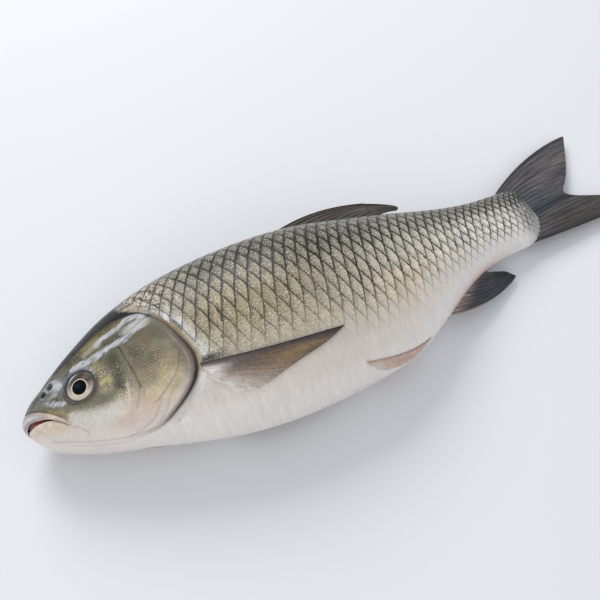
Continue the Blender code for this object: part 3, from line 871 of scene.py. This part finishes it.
# A scale's plate: how far its rows of points lie from the rear edge, as a share of its
# length, after two rows that round off its rim, each with its shift and height
PLATE_SHARES = (0.0, 0.03, 0.08, 0.16, 0.30, 0.50, 0.74, 1.0)
PLATE_RIM = ((0.030, -0.45), (0.016, 0.72))
PLATE_ACROSS = 13
PLATE_OVERLAP = 0.16
RELIEF_LENGTH = 1.2

# How far each plate strays from its place in the lattice and from its height
PLATE_JITTER = (0.007, 0.003, 0.10)

# Behind this place the last scales are squeezed together towards the tail fin's root
SCALES_PRESS = 0.990
SCALES_SQUEEZE = 0.027


def scales(side):
    """All the overlapping scales of one side as one mesh of thin plates."""
    random = np.random.default_rng(11 if side > 0 else 12)
    column, row, columns, fine = scale_centres()
    count = len(column)
    beside = np.linspace(-1, 1, PLATE_ACROSS)
    reach = np.clip(np.abs(beside), 0, 1)
    rear = 0.5 * (1 - reach ** SCALE_CURVE)
    front = -0.5 * (1 - reach) ** SCALE_CURVE
    length = rear - front + PLATE_OVERLAP
    inside = np.array(PLATE_SHARES)[:, None] * length
    rim_shift, rim_height = np.array(PLATE_RIM).T[..., None] * np.ones(PLATE_ACROSS)
    from_rear = np.concatenate((-rim_shift, inside))
    height = np.concatenate((rim_height, 1 - inside / RELIEF_LENGTH - 0.2 * reach ** 6))
    from_rim = np.concatenate((np.zeros_like(rim_shift), inside))
    jitter = random.normal(size=(count, 3)) * PLATE_JITTER
    along, up, tall = jitter.T[..., None, None]
    station = np.interp(column[:, None, None] + along + (rear - from_rear), columns, fine)
    degrees = 90 + (row[:, None, None] + up + beside) * row_step(station)
    past = np.maximum(station - SCALES_PRESS, 0)
    squeezed = SCALES_SQUEEZE * (1 - np.exp(-past / SCALES_SQUEEZE))
    station = np.minimum(station, SCALES_PRESS) + squeezed
    turned = half_angle(degrees)
    begin = scales_begin(np.clip(turned, 0, 180))
    rise = SCALE_RISE * (1 + tall) * (1 - 0.75 * smooth(turned, 108, 132))
    rise = rise * (0.6 + 0.4 * smooth(station, 0.22, 0.34))
    rise = rise * (1 - 0.85 * smooth(station, 0.94, 1.005))
    sunk = SCALE_SINK * smooth(station, begin + 0.008, begin - 0.006)
    degrees = side_angle(degrees, side)
    points = placed(skin(station, degrees, rise * height - sunk))
    colour = trunk_colour(station, degrees, skin(station, degrees))
    step = column_step(station) * STANDARD_LENGTH / MM
    values = {
        "rim": from_rim * step,
        "root": (length - PLATE_OVERLAP - from_rim) * step,
        "net": net_strength(station, degrees),
        "tone": np.broadcast_to(random.uniform(size=(count, 1, 1)), station.shape),
        "grit": 1 - 0.92 * smooth(turned, 104, 128),
        "bright": smooth(station, 0.34, 0.23) * smooth(turned, 84, 66) * smooth(turned, 24, 42),
    }
    plate = grid_faces(len(height), PLATE_ACROSS)
    faces = (plate + (np.arange(count) * height.size)[:, None, None]).reshape(-1, 4)
    if side > 0:
        faces = faces[:, ::-1]
    return make_mesh(sided("scales", side), points, faces, colour, values)


def sided(name, side):
    """The name of a piece that comes once on each side."""
    return f"{name}_left" if side > 0 else f"{name}_right"


def in_plane(station, height):
    """Points of the plane that the middle fins lie in."""
    plane = np.where(station < FIN_PLANE[0][0], section(station)[3], fin_plane(station))
    return np.stack((station, height, plane), -1) * STANDARD_LENGTH


def on_fin(shape, across, along):
    """Places between a fin's root and its free edge, as the fin's outline is given."""
    first, last = np.array(shape["root"])
    start = first + (last - first) * across[..., None]
    end = through(shape["edge"], across)
    return start + (end - start) * along[..., None]


def ray_wave(across, along, count, fork=0.45):
    """The height of the rays over the web between them, 0 to 1.  Each ray forks once."""
    single = 0.5 + 0.5 * np.cos(2 * math.pi * count * across)
    double = 0.5 + 0.5 * np.cos(4 * math.pi * count * across + math.pi)
    share = smooth(along, fork, fork + 0.3)
    return (1 - share) * single ** 1.4 + share * (0.35 * single + 0.75 * double) ** 1.4


FIN_SAMPLES = 8
FIN_ROWS = 70


def fin_mesh(name, shape, surface, thick, paint):
    """Both faces of a fin and the narrow edge between them, as one closed mesh."""
    rows, columns = FIN_ROWS, FIN_SAMPLES * shape["rays"] + 1
    along, across = np.meshgrid(np.linspace(0, 1, rows), np.linspace(0, 1, columns),
                                indexing="ij")
    middle = surface(across, along)
    wave = ray_wave(across, along, shape["rays"])
    rim = np.minimum(np.minimum(across, 1 - across) * columns / 3, (1 - along) * rows / 2)
    rim = np.sqrt(np.clip(rim, 0.02, 1))
    half = thick(across, along) / 2 * (1 - shape["relief"] * (1 - wave)) * rim
    reach = surface_normal(middle) * half[..., None]
    points = np.stack((middle + reach, middle - reach))
    count = rows * columns
    face = grid_faces(rows, columns)
    border = list(range(columns)) + list(range(2 * columns - 1, count, columns))
    border += list(range(count - 2, count - columns - 1, -1))
    border += list(range(count - 2 * columns, 0, -columns))
    edge = [(b, a, a + count, b + count) for a, b in zip(border, border[1:] + border[:1])]
    faces = np.concatenate((face, face[:, ::-1] + count, np.array(edge)))
    values = {"across": np.stack([across * shape["rays"]] * 2), "along": np.stack([along] * 2),
              "streaked": np.full(2 * count, shape["streaked"])}
    colours = np.stack([paint(across, along, wave)] * 2)
    return make_mesh(name, placed(points), faces, colours, values)


def surface_normal(middle):
    """Directions square to a grid of points."""
    normal = np.cross(np.gradient(middle, axis=1), np.gradient(middle, axis=0))
    return normal / np.maximum(np.linalg.norm(normal, axis=-1, keepdims=True), 1e-12)


def middle_fin(name, shape, paint):
    """A fin in the middle plane, with rays that bow and droop towards its free edge."""
    def surface(across, along):
        place = on_fin(shape, across, along)
        first, last = shape["bow"]
        bow = (first + (last - first) * across) * np.sin(math.pi * along) ** BOW_POWER
        point = in_plane(place[..., 0], place[..., 1] + bow)
        point[..., 2] -= shape["droop"] * np.sin(math.pi / 2 * along) * STANDARD_LENGTH
        point[..., 2] += 0.35 * MM * np.sin(9 * across + 3 * along) * smooth(along, 0.1, 0.6)
        return point

    def thick(across, along):
        return (3.4 - 2.5 * along ** 0.7) * MM * (1 + 0.25 * hill(across, 0.03))

    return fin_mesh(name, shape, surface, thick, paint)


def paired_fin(name, shape, side, paint):
    """A fin that lies back on the flank, a little proud of the scales."""
    turn = 0 if side > 0 else shape["hidden_turn"]

    def surface(across, along):
        place = on_fin(shape, across, along)
        degrees = side_angle(place[..., 1] + turn, side)
        lift = shape["lift"] * (1 + 0.9 * np.sin(math.pi * along) + 0.45 * along)
        sunk = smooth(across, 0.55, 1.0)
        sunk = sunk + smooth(along, 0.2, 0.0) * smooth(across, 0.2, 0.6)
        return skin(place[..., 0], degrees, (lift - 0.9 * np.minimum(sunk, 1)) * MM)

    def thick(across, along):
        return (1.5 - 0.9 * along + 0.8 * hill(across, 0.05)) * MM

    return fin_mesh(name, shape, surface, thick, paint)


def tail_paint(across, along, wave):
    """Slate blue at the root and between the lobes, brownish on the outer lobes."""
    colour = layered(
        srgb(88, 85, 88),
        ((78, 87, 102), hill(across - 0.5, 0.16) * smooth(along, 0.9, 0.3)),
        ((38, 43, 52), 0.85 * hill(across - 0.60, 0.06)),
        ((74, 68, 62), 0.8 * smooth(across, 0.66, 0.80) * smooth(along, 0.05, 0.5)),
        ((46, 43, 42), 0.8 * (hill(across, 0.035) + hill(1 - across, 0.05))),
        ((114, 106, 104), 0.5 * hill(across - 0.14, 0.10) * smooth(along, 0.35, 0.8)))
    return mixed(colour, colour * 0.6, 0.7 * (1 - wave))


def dorsal_paint(across, along, wave):
    """Dark brown grey with lighter rays."""
    colour = layered(
        srgb(92, 84, 79),
        ((52, 46, 42), 0.9 * hill(across, 0.10)),
        ((110, 104, 100), 0.5 * smooth(along, 0.3, 0.7) * smooth(across, 0.1, 0.4)))
    return mixed(colour, colour * 0.5, 0.75 * (1 - wave))


def anal_paint(across, along, wave):
    """Dark slate with a faintly rosy root and front edge."""
    colour = layered(
        srgb(66, 69, 75),
        ((104, 98, 92), 0.6 * smooth(across, 0.7, 0.95)),
        ((178, 156, 146), smooth(along, 0.34, 0.04) * (0.5 + 0.45 * (1 - across))),
        ((150, 126, 118), 0.7 * hill(across, 0.03) * smooth(along, 0.7, 0.4)),
        ((46, 48, 54), 0.6 * smooth(along, 0.8, 1.0)))
    return mixed(colour, colour * 0.6, 0.6 * (1 - wave))


def pectoral_paint(across, along, wave):
    """Violet grey in front with a dark leading edge, golden brown behind, pale below."""
    pale = smooth(across + 0.08 * (0.5 - wave), 0.46, 0.94)
    base = smooth(along, 0.34, 0.08) * smooth(across, 0.14, 0.42)
    colour = layered(
        srgb(104, 93, 94),
        ((120, 102, 84), 0.9 * smooth(along, 0.25, 0.55) * smooth(across, 0.0, 0.20)),
        ((164, 134, 96), 0.62 * hill(along - 0.80, 0.14) * smooth(across, 0.05, 0.25)),
        ((150, 132, 118), 0.8 * smooth(across, 0.30, 0.62)),
        ((214, 205, 197), pale),
        ((218, 211, 206), base),
        ((66, 58, 58), 0.70 * hill(across, 0.13)),
        ((46, 44, 46), 0.90 * hill(across, 0.04)))
    return mixed(colour, colour * 0.6, 0.7 * (1 - wave) * (1 - 0.88 * np.maximum(pale, base)))


def pelvic_paint(across, along, wave):
    """Pale brownish pink with a darker leading ray, fading into the belly at its root."""
    colour = layered(
        srgb(204, 180, 166),
        ((192, 158, 142), 0.7 * hill(across - 0.4, 0.3) * smooth(along, 0.2, 0.6)),
        ((160, 134, 118), 0.6 * hill(across, 0.07)),
        ((216, 206, 199), smooth(along, 0.35, 0.05) * smooth(across, 0.1, 0.4)),
        ((216, 206, 199), 0.8 * smooth(across, 0.6, 1.0)))
    return mixed(colour, colour * 0.70, 0.7 * (1 - wave))


PAINTS = {"tail_fin": tail_paint, "dorsal_fin": dorsal_paint, "anal_fin": anal_paint,
          "pectoral_fin": pectoral_paint, "pelvic_fin": pelvic_paint}


# The eyeball's finely meshed front, in radians from its middle, its spokes and how deep the
# front is dished round the iris
EYE_FINE = 1.1
EYE_SPOKES = 128
EYE_DISH = 0.35 * MM


def eyeball(name, side):
    """A flattened ball with a pupil, a thin pale ring and a streaked iris."""
    degrees = side_angle(EYE_ANGLE, side)
    proud = EYE_PROUD if side > 0 else HIDDEN_EYE_PROUD
    out = outward(EYE_STATION, degrees)
    centre = skin(EYE_STATION, degrees, proud - EYE_HALF_DEPTH)
    up = np.array((0.0, 1.0, 0.0))
    up = up - (up @ out) * out
    up = up / np.linalg.norm(up)
    beside = np.cross(up, out)
    polar = np.concatenate((np.linspace(0, EYE_FINE, 120), np.linspace(EYE_FINE, math.pi, 40)[1:]))
    turn = np.linspace(0, 2 * math.pi, EYE_SPOKES + 1)[:-1]
    polar, turn = np.meshgrid(polar, turn, indexing="ij")
    gap = EYE_RADIUS * np.sin(polar) / MM
    front = np.cos(polar) > 0
    depth = EYE_HALF_DEPTH * np.cos(polar) - EYE_DISH * hill(gap - 7.0, 1.5) * front
    right, above = gap * np.cos(turn), gap * np.sin(turn)
    points = centre + MM * (right[..., None] * beside + above[..., None] * up)
    points = points + depth[..., None] * out
    right, above = right - PUPIL_OFFSET[0], above - PUPIL_OFFSET[1]
    ring = np.hypot(right, above)
    facing = np.arctan2(above, right)
    shaded = 0.5 + 0.5 * np.cos(facing - math.radians(DARK_IRIS_TURN))
    streak = 0.5 + 0.5 * np.sin(facing * 37 + 2.3 * np.sin(facing * 5) + ring)
    shine = smooth(gap, 6.9, 7.5) * smooth(gap, 8.7, 8.0)
    shine = shine * hill(turn - math.radians(SHINE_TURN), 0.42)
    # Painted light: a bluish reflection on the pupil and a pale reflection arc near the rim; the
    # rim where the eyeball goes under the socket is painted near black as shade.
    painted_sheen = np.exp(-((right + 0.6) ** 2 + (above - 1.0) ** 2) / 3.0) * (ring < 4.4)
    colour = layered(srgb(206, 195, 180),
                     ((150, 138, 130), smooth(shaded, 0.15, 0.60)),
                     ((64, 52, 48), 0.95 * smooth(shaded, 0.50, 0.86)),
                     ((226, 218, 204), 0.25 * streak * smooth(shaded, 0.7, 0.3)),
                     ((206, 208, 216), 0.95 * shine),
                     ((104, 94, 88), 0.6 * smooth(gap, 8.2, 9.2) * (1 - shine)),
                     ((28, 29, 34), 0.92 * smooth(gap, 9.0, 9.6)),
                     ((224, 212, 190), smooth(ring, 5.30, 5.00)),
                     ((5, 6, 9), smooth(ring, 4.75, 4.45)),
                     ((34, 42, 60), 0.8 * painted_sheen),
                     ((40, 44, 52), 1.0 * ~front))
    return make_mesh(name, points + ORIGIN, grid_faces(*gap.shape, closed=True), colour)


class Nodes:
    """A small helper that adds and joins a material's nodes, each by its usual name."""

    def __init__(self, name):
        """A new material with its shader."""
        self.material = bpy.data.materials.new(name)
        self.material.use_nodes = True
        self.tree = self.material.node_tree
        self.shader = self.tree.nodes["Principled BSDF"]

    def add(self, kind, inputs=None, **settings):
        node = self.tree.nodes.new(kind)
        for key, value in settings.items():
            setattr(node, key, value)
        for key, value in (inputs or {}).items():
            self.put(node.inputs[key], value)
        return node

    def put(self, socket, value):
        if isinstance(value, bpy.types.NodeSocket):
            self.tree.links.new(value, socket)
        else:
            socket.default_value = value

    def attribute(self, name, output="Fac"):
        return self.add("ShaderNodeAttribute", attribute_name=name).outputs[output]

    def maths(self, operation, first, second=0.0, third=0.0):
        node = self.add("ShaderNodeMath", {0: first, 1: second, 2: third}, operation=operation)
        return node.outputs[0]

    def times(self, first, *factors):
        """The product of all the values."""
        for factor in factors:
            first = self.maths("MULTIPLY", first, factor)
        return first

    def scaled(self, value, factor, offset):
        """The value times the factor, plus the offset."""
        return self.maths("MULTIPLY_ADD", value, factor, offset)

    def ranged(self, value, start, end, low=0.0, high=1.0, curve="SMOOTHSTEP"):
        """The value's way from start to end, turned into a way from low to high."""
        inputs = {"Value": value, "From Min": start, "From Max": end, "To Min": low, "To Max": high}
        return self.add("ShaderNodeMapRange", inputs, interpolation_type=curve).outputs["Result"]

    def noise(self, scale, detail=3.0, rough=0.55, stretch=None, turn=0.0):
        """A noise fixed to the object, which may be drawn out along a direction."""
        place = self.add("ShaderNodeTexCoord").outputs["Object"]
        if stretch:
            inputs = {"Vector": place, "Scale": stretch, "Rotation": (0, 0, math.radians(turn))}
            place = self.add("ShaderNodeMapping", inputs, vector_type="TEXTURE").outputs[0]
        inputs = {"Vector": place, "Scale": scale, "Detail": detail, "Roughness": rough}
        return self.add("ShaderNodeTexNoise", inputs).outputs["Fac"]

    def mix(self, share, first, second, blend="MIX"):
        node = self.add("ShaderNodeMix", data_type="RGBA", blend_type=blend)
        for index, value in ((0, share), (6, first), (7, second)):
            self.put(node.inputs[index], value)
        return node.outputs[2]

    def painted(self, shade):
        """The colours on the vertices, darker or lighter by a shade around 1."""
        even = self.add("ShaderNodeCombineColor", {0: shade, 1: shade, 2: shade}).outputs[0]
        return self.mix(1.0, self.attribute("paint", "Color"), even, "MULTIPLY")

    def bump(self, height, distance, strength):
        inputs = {"Height": height, "Distance": distance, "Strength": strength}
        return self.add("ShaderNodeBump", inputs).outputs["Normal"]

    def wet(self, coat, coat_roughness, specular):
        """The film of water that the fish is covered with."""
        self.shader.inputs["Coat Weight"].default_value = coat
        self.shader.inputs["Coat Roughness"].default_value = coat_roughness
        self.shader.inputs["Coat IOR"].default_value = 1.28
        self.shader.inputs["Specular IOR Level"].default_value = specular

    def finish(self, **inputs):
        """The material, with these inputs of its shader set or joined."""
        for key, value in inputs.items():
            self.put(self.shader.inputs[key.replace("_", " ").title()], value)
        return self.material


def rgba(red, green, blue):
    """A node's colour from the usual 0 to 255 values."""
    return (*srgb(red, green, blue).tolist(), 1.0)


def speckles(nodes, scale, start, end, share):
    """Small spots where a fine noise passes a threshold."""
    return nodes.times(nodes.ranged(nodes.noise(scale, 2.0, 0.5), start, end), share)


def gritty(nodes, fine, amount):
    """A shade around 1 that varies more where the amount is greater."""
    swing = nodes.ranged(fine, 0.28, 0.72, -0.5, 0.5, "LINEAR")
    return nodes.scaled(swing, amount, 1.0)


def skin_material():
    """Scaleless skin: painted regions, wet streaks painted as pale reflections, speckles, painted
    glints and a wet film.
    """
    nodes = Nodes("head_skin")
    grit = nodes.attribute("grit")
    coarse = nodes.noise(130.0, 4.0, 0.6)
    fine = nodes.noise(900.0, 4.0, 0.65)
    middling = nodes.noise(380.0, 3.0, 0.6)
    shade = nodes.times(gritty(nodes, fine, nodes.scaled(grit, 0.46, 0.02)),
                        gritty(nodes, coarse, nodes.scaled(grit, 0.26, 0.05)),
                        gritty(nodes, middling, nodes.scaled(grit, 0.22, 0.04)))
    colour = nodes.painted(shade)
    turn = nodes.times(nodes.attribute("fan_turn"), 1.9)
    bent = nodes.scaled(nodes.noise(150.0, 3.0, 0.6), 5.0, turn)
    ridges = nodes.times(nodes.ranged(nodes.maths("SINE", bent), -0.2, 1.0),
                         nodes.attribute("fan"), nodes.ranged(coarse, 0.35, 0.6, 0.15, 0.55))
    colour = nodes.mix(ridges, colour, rgba(54, 47, 34))
    clump = nodes.ranged(nodes.noise(260.0, 4.0, 0.72), 0.50, 0.56)
    clump = nodes.times(clump, nodes.attribute("peppered"), 0.88)
    colour = nodes.mix(clump, colour, rgba(28, 27, 22))
    long = nodes.noise(620.0, 4.0, 0.68, stretch=(8.0, 1.0, 1.0), turn=20.0)
    swing = nodes.ranged(long, 0.28, 0.72, -0.46, 0.46, "LINEAR")
    black = nodes.ranged(nodes.scaled(swing, 0.65, nodes.attribute("dark")), 0.34, 0.56)
    colour = nodes.mix(black, colour, rgba(10, 12, 13))
    # The wet streaks are painted as a pale reflection, broken by a fine drawn-out noise.
    mirror = nodes.maths("ADD", swing, nodes.attribute("wet"))
    mirror = nodes.ranged(mirror, 0.34, 1.10, 0.0, 0.92)
    lines = nodes.noise(1100.0, 3.0, 0.6, stretch=(10.0, 1.0, 1.0), turn=20.0)
    shine = nodes.mix(nodes.ranged(lines, 0.36, 0.56), rgba(150, 150, 150), rgba(204, 206, 212))
    colour = nodes.mix(mirror, colour, shine)
    # Painted glints: pale gold specks of highlight where the skin is speckled.
    glint = speckles(nodes, 1300.0, 0.55, 0.66, nodes.times(nodes.attribute("speckled"), 0.75))
    colour = nodes.mix(glint, colour, rgba(232, 222, 196))
    nodes.wet(0.28, 0.12, 0.12)
    return nodes.finish(base_color=colour,
                        roughness=nodes.ranged(coarse, 0.3, 0.7, 0.30, 0.48),
                        normal=nodes.bump(nodes.noise(1100.0, 3.0, 0.6), 0.00010, 0.3))


def scale_material():
    """Scales: a dark speckled net at their edges, painted gold and silver glints in their middles.
    """
    nodes = Nodes("scaled_skin")
    names = ("rim", "root", "grit", "tone", "bright")
    rim, root, grit, tone, bright = (nodes.attribute(name) for name in names)
    uneven = nodes.ranged(nodes.noise(60.0, 3.0), 0.3, 0.7, 0.78, 1.12)
    net = nodes.times(nodes.attribute("net"), uneven)
    fine = nodes.noise(650.0, 5.0, 0.8)
    ragged = nodes.ranged(nodes.noise(420.0, 5.0, 0.8), 0.25, 0.75, -1.0, 1.0, "LINEAR")
    near = nodes.maths("MINIMUM", nodes.times(rim, 1.4), root)
    near = nodes.scaled(ragged, nodes.scaled(net, 0.75, 0.2), near)
    near = nodes.maths("DIVIDE", near, nodes.scaled(net, 1.0, 0.48))
    line = nodes.ranged(near, 0.30, 1.10, 1.0, 0.0)
    halo = nodes.ranged(nodes.scaled(ragged, 1.5, root), 0.2, 4.8, 1.0, 0.0)
    tones = nodes.ranged(tone, 0.0, 1.0, -0.5, 0.5, "LINEAR")
    netted = nodes.times(halo, net)
    shadow = nodes.ranged(netted, 0.0, 1.0, 1.22, 0.40, "LINEAR")
    smear = nodes.noise(420.0, 3.0, 0.6, stretch=(1.0, 5.0, 5.0))
    shade = nodes.times(gritty(nodes, fine, nodes.scaled(grit, 0.98, 0.10)),
                        nodes.scaled(tones, nodes.times(grit, 0.2), 1.0),
                        nodes.scaled(nodes.maths("SUBTRACT", shadow, 1.0), grit, 1.0),
                        gritty(nodes, smear, 0.13))
    colour = nodes.painted(shade)
    # A painted highlight: pale sparkle on the scales behind the head.
    painted_sheen = nodes.times(bright, nodes.ranged(fine, 0.42, 0.60, 0.0, 0.85))
    colour = nodes.mix(painted_sheen, colour, rgba(232, 216, 198))
    peppered = nodes.maths("MAXIMUM", netted, nodes.times(bright, 0.9))
    black = speckles(nodes, 560.0, 0.53, 0.63, nodes.times(grit, peppered))
    colour = nodes.mix(black, colour, rgba(26, 26, 20))
    clump = nodes.ranged(nodes.noise(260.0, 4.0, 0.72), 0.47, 0.54)
    clump = nodes.times(clump, nodes.ranged(halo, 0.0, 1.0, 0.35, 1.0), bright)
    colour = nodes.mix(clump, colour, rgba(26, 25, 20))
    # Painted glints: pale gold specks of highlight.
    glint = speckles(nodes, 1400.0, 0.56, 0.65, nodes.scaled(grit, 0.62, 0.18))
    colour = nodes.mix(glint, colour, rgba(236, 226, 200))
    dark = nodes.times(line, nodes.ranged(net, 0.03, 0.62, 0.0, 0.97, "LINEAR"),
                       nodes.maths("SUBTRACT", 1.0, nodes.times(bright, 0.22)))
    colour = nodes.mix(dark, colour, rgba(24, 24, 19))
    rough = nodes.ranged(nodes.noise(260.0, 3.0, 0.6), 0.3, 0.7, 0.26, 0.44)
    nodes.wet(0.25, 0.14, 0.16)
    return nodes.finish(base_color=colour, roughness=rough,
                        normal=nodes.bump(fine, 0.00016, 0.6))


def fin_material():
    """Wet rays and web, streaked along the rays."""
    nodes = Nodes("fin_skin")
    shade = nodes.ranged(nodes.noise(420.0, 4.0, 0.65), 0.3, 0.7, 0.84, 1.14)
    across = nodes.times(nodes.attribute("across"), 2.2)
    along = nodes.times(nodes.attribute("along"), 2.6)
    place = nodes.add("ShaderNodeCombineXYZ", {0: across, 1: along}).outputs[0]
    inputs = {"Vector": place, "Scale": 1.0, "Detail": 3.0, "Roughness": 0.65}
    streaks = nodes.add("ShaderNodeTexNoise", inputs).outputs["Fac"]
    shade = nodes.times(shade, gritty(nodes, streaks, nodes.attribute("streaked")))
    nodes.wet(0.25, 0.18, 0.2)
    return nodes.finish(base_color=nodes.painted(shade), roughness=0.42,
                        normal=nodes.bump(nodes.noise(900.0, 3.0, 0.6), 0.0001, 0.4))


def gloss_material():
    """A clear film over a painted iris or the lining of the mouth."""
    nodes = Nodes("eye_gloss")
    shade = nodes.ranged(nodes.noise(800.0, 3.0, 0.6), 0.3, 0.7, 0.88, 1.10)
    nodes.wet(0.25, 0.03, 0.05)
    return nodes.finish(base_color=nodes.painted(shade), roughness=0.25)


# The camera: its direction seen from the target, its target and its distance in metres
CAMERA_AWAY = Vector((-0.2248, -0.4799, 0.8480))
CAMERA_TARGET = Vector((-0.0539, 0.0211, 0.0))
CAMERA_DISTANCE = 0.4567
CAMERA_LENS = 36.0

# Soft lights: place, size and strength in watts, aimed at the middle of the fish
LIGHTS = {
    "window": ((-0.10, 2.00, 1.60), 1.3, 38.0),
    "fill": ((-0.80, -1.20, 0.60), 0.9, 6.0),
}
WORLD = {"Color": (0.93, 0.96, 1.0, 1.0), "Strength": 0.61}
FLOOR_HALF = 3.0
FLOOR_COLOUR = (0.80, 0.81, 0.84, 1.0)
FLOOR_ROUGHNESS = 0.75


def aimed(name, data, place, away):
    """A camera or light at a place, facing back along the given direction."""
    made = bpy.data.objects.new(name, data)
    made.location = place
    made.rotation_mode = "QUATERNION"
    made.rotation_quaternion = away.to_track_quat("Z", "Y")
    bpy.context.scene.collection.objects.link(made)
    return made


def add_camera():
    """A camera at the photo's angle, 58 degrees above the table."""
    data = bpy.data.cameras.new("camera")
    data.lens = CAMERA_LENS
    data.sensor_width = CAMERA_LENS
    away = CAMERA_AWAY.normalized()
    place = CAMERA_TARGET + away * CAMERA_DISTANCE
    bpy.context.scene.camera = aimed("camera", data, place, away)


def add_stage():
    """A plain pale floor and soft studio light."""
    signs = ((-1, -1, 0), (1, -1, 0), (1, 1, 0), (-1, 1, 0))
    floor = make_mesh("floor", FLOOR_HALF * np.array(signs), np.array(((0, 1, 2, 3),)))
    material = Nodes("pale_floor").finish(base_color=FLOOR_COLOUR, roughness=FLOOR_ROUGHNESS)
    floor.data.materials.append(material)
    for name, (place, width, strength) in LIGHTS.items():
        data = bpy.data.lights.new(name, "AREA")
        data.size = width
        data.energy = strength
        aimed(name, data, place, Vector(place))
    world = bpy.data.worlds.new("studio")
    world.use_nodes = True
    for key, value in WORLD.items():
        world.node_tree.nodes["Background"].inputs[key].default_value = value
    bpy.context.scene.world = world
    bpy.context.scene.view_settings.view_transform = "Standard"


def dress(made, material):
    """Give a piece its material and let it move with the fish."""
    made.data.materials.clear()
    made.data.materials.append(material)
    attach(made, "root")
    return made


def main():
    """Build every piece of the fish."""
    add_camera()
    add_stage()
    plain_skin = skin_material()
    scaled = scale_material()
    rays = fin_material()
    gloss = gloss_material()
    snout = head()
    move_to_frame(snout)
    dress(snout, plain_skin)
    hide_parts("fish")
    dress(mouth_lining(), gloss)
    dress(trunk(), plain_skin)
    for side in (1, -1):
        dress(scales(side), scaled)
        for name, shape in PAIRED_FINS.items():
            made = paired_fin(sided(name, side), shape, side, PAINTS[name])
            dress(made, rays)
    for name, shape in MIDDLE_FINS.items():
        dress(middle_fin(name, shape, PAINTS[name]), rays)
    for name, side in (("eye_left", 1), ("eye_right", -1)):
        ball = dress(eyeball(name.replace("eye", "eyeball"), side), gloss)
        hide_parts(name)


main()
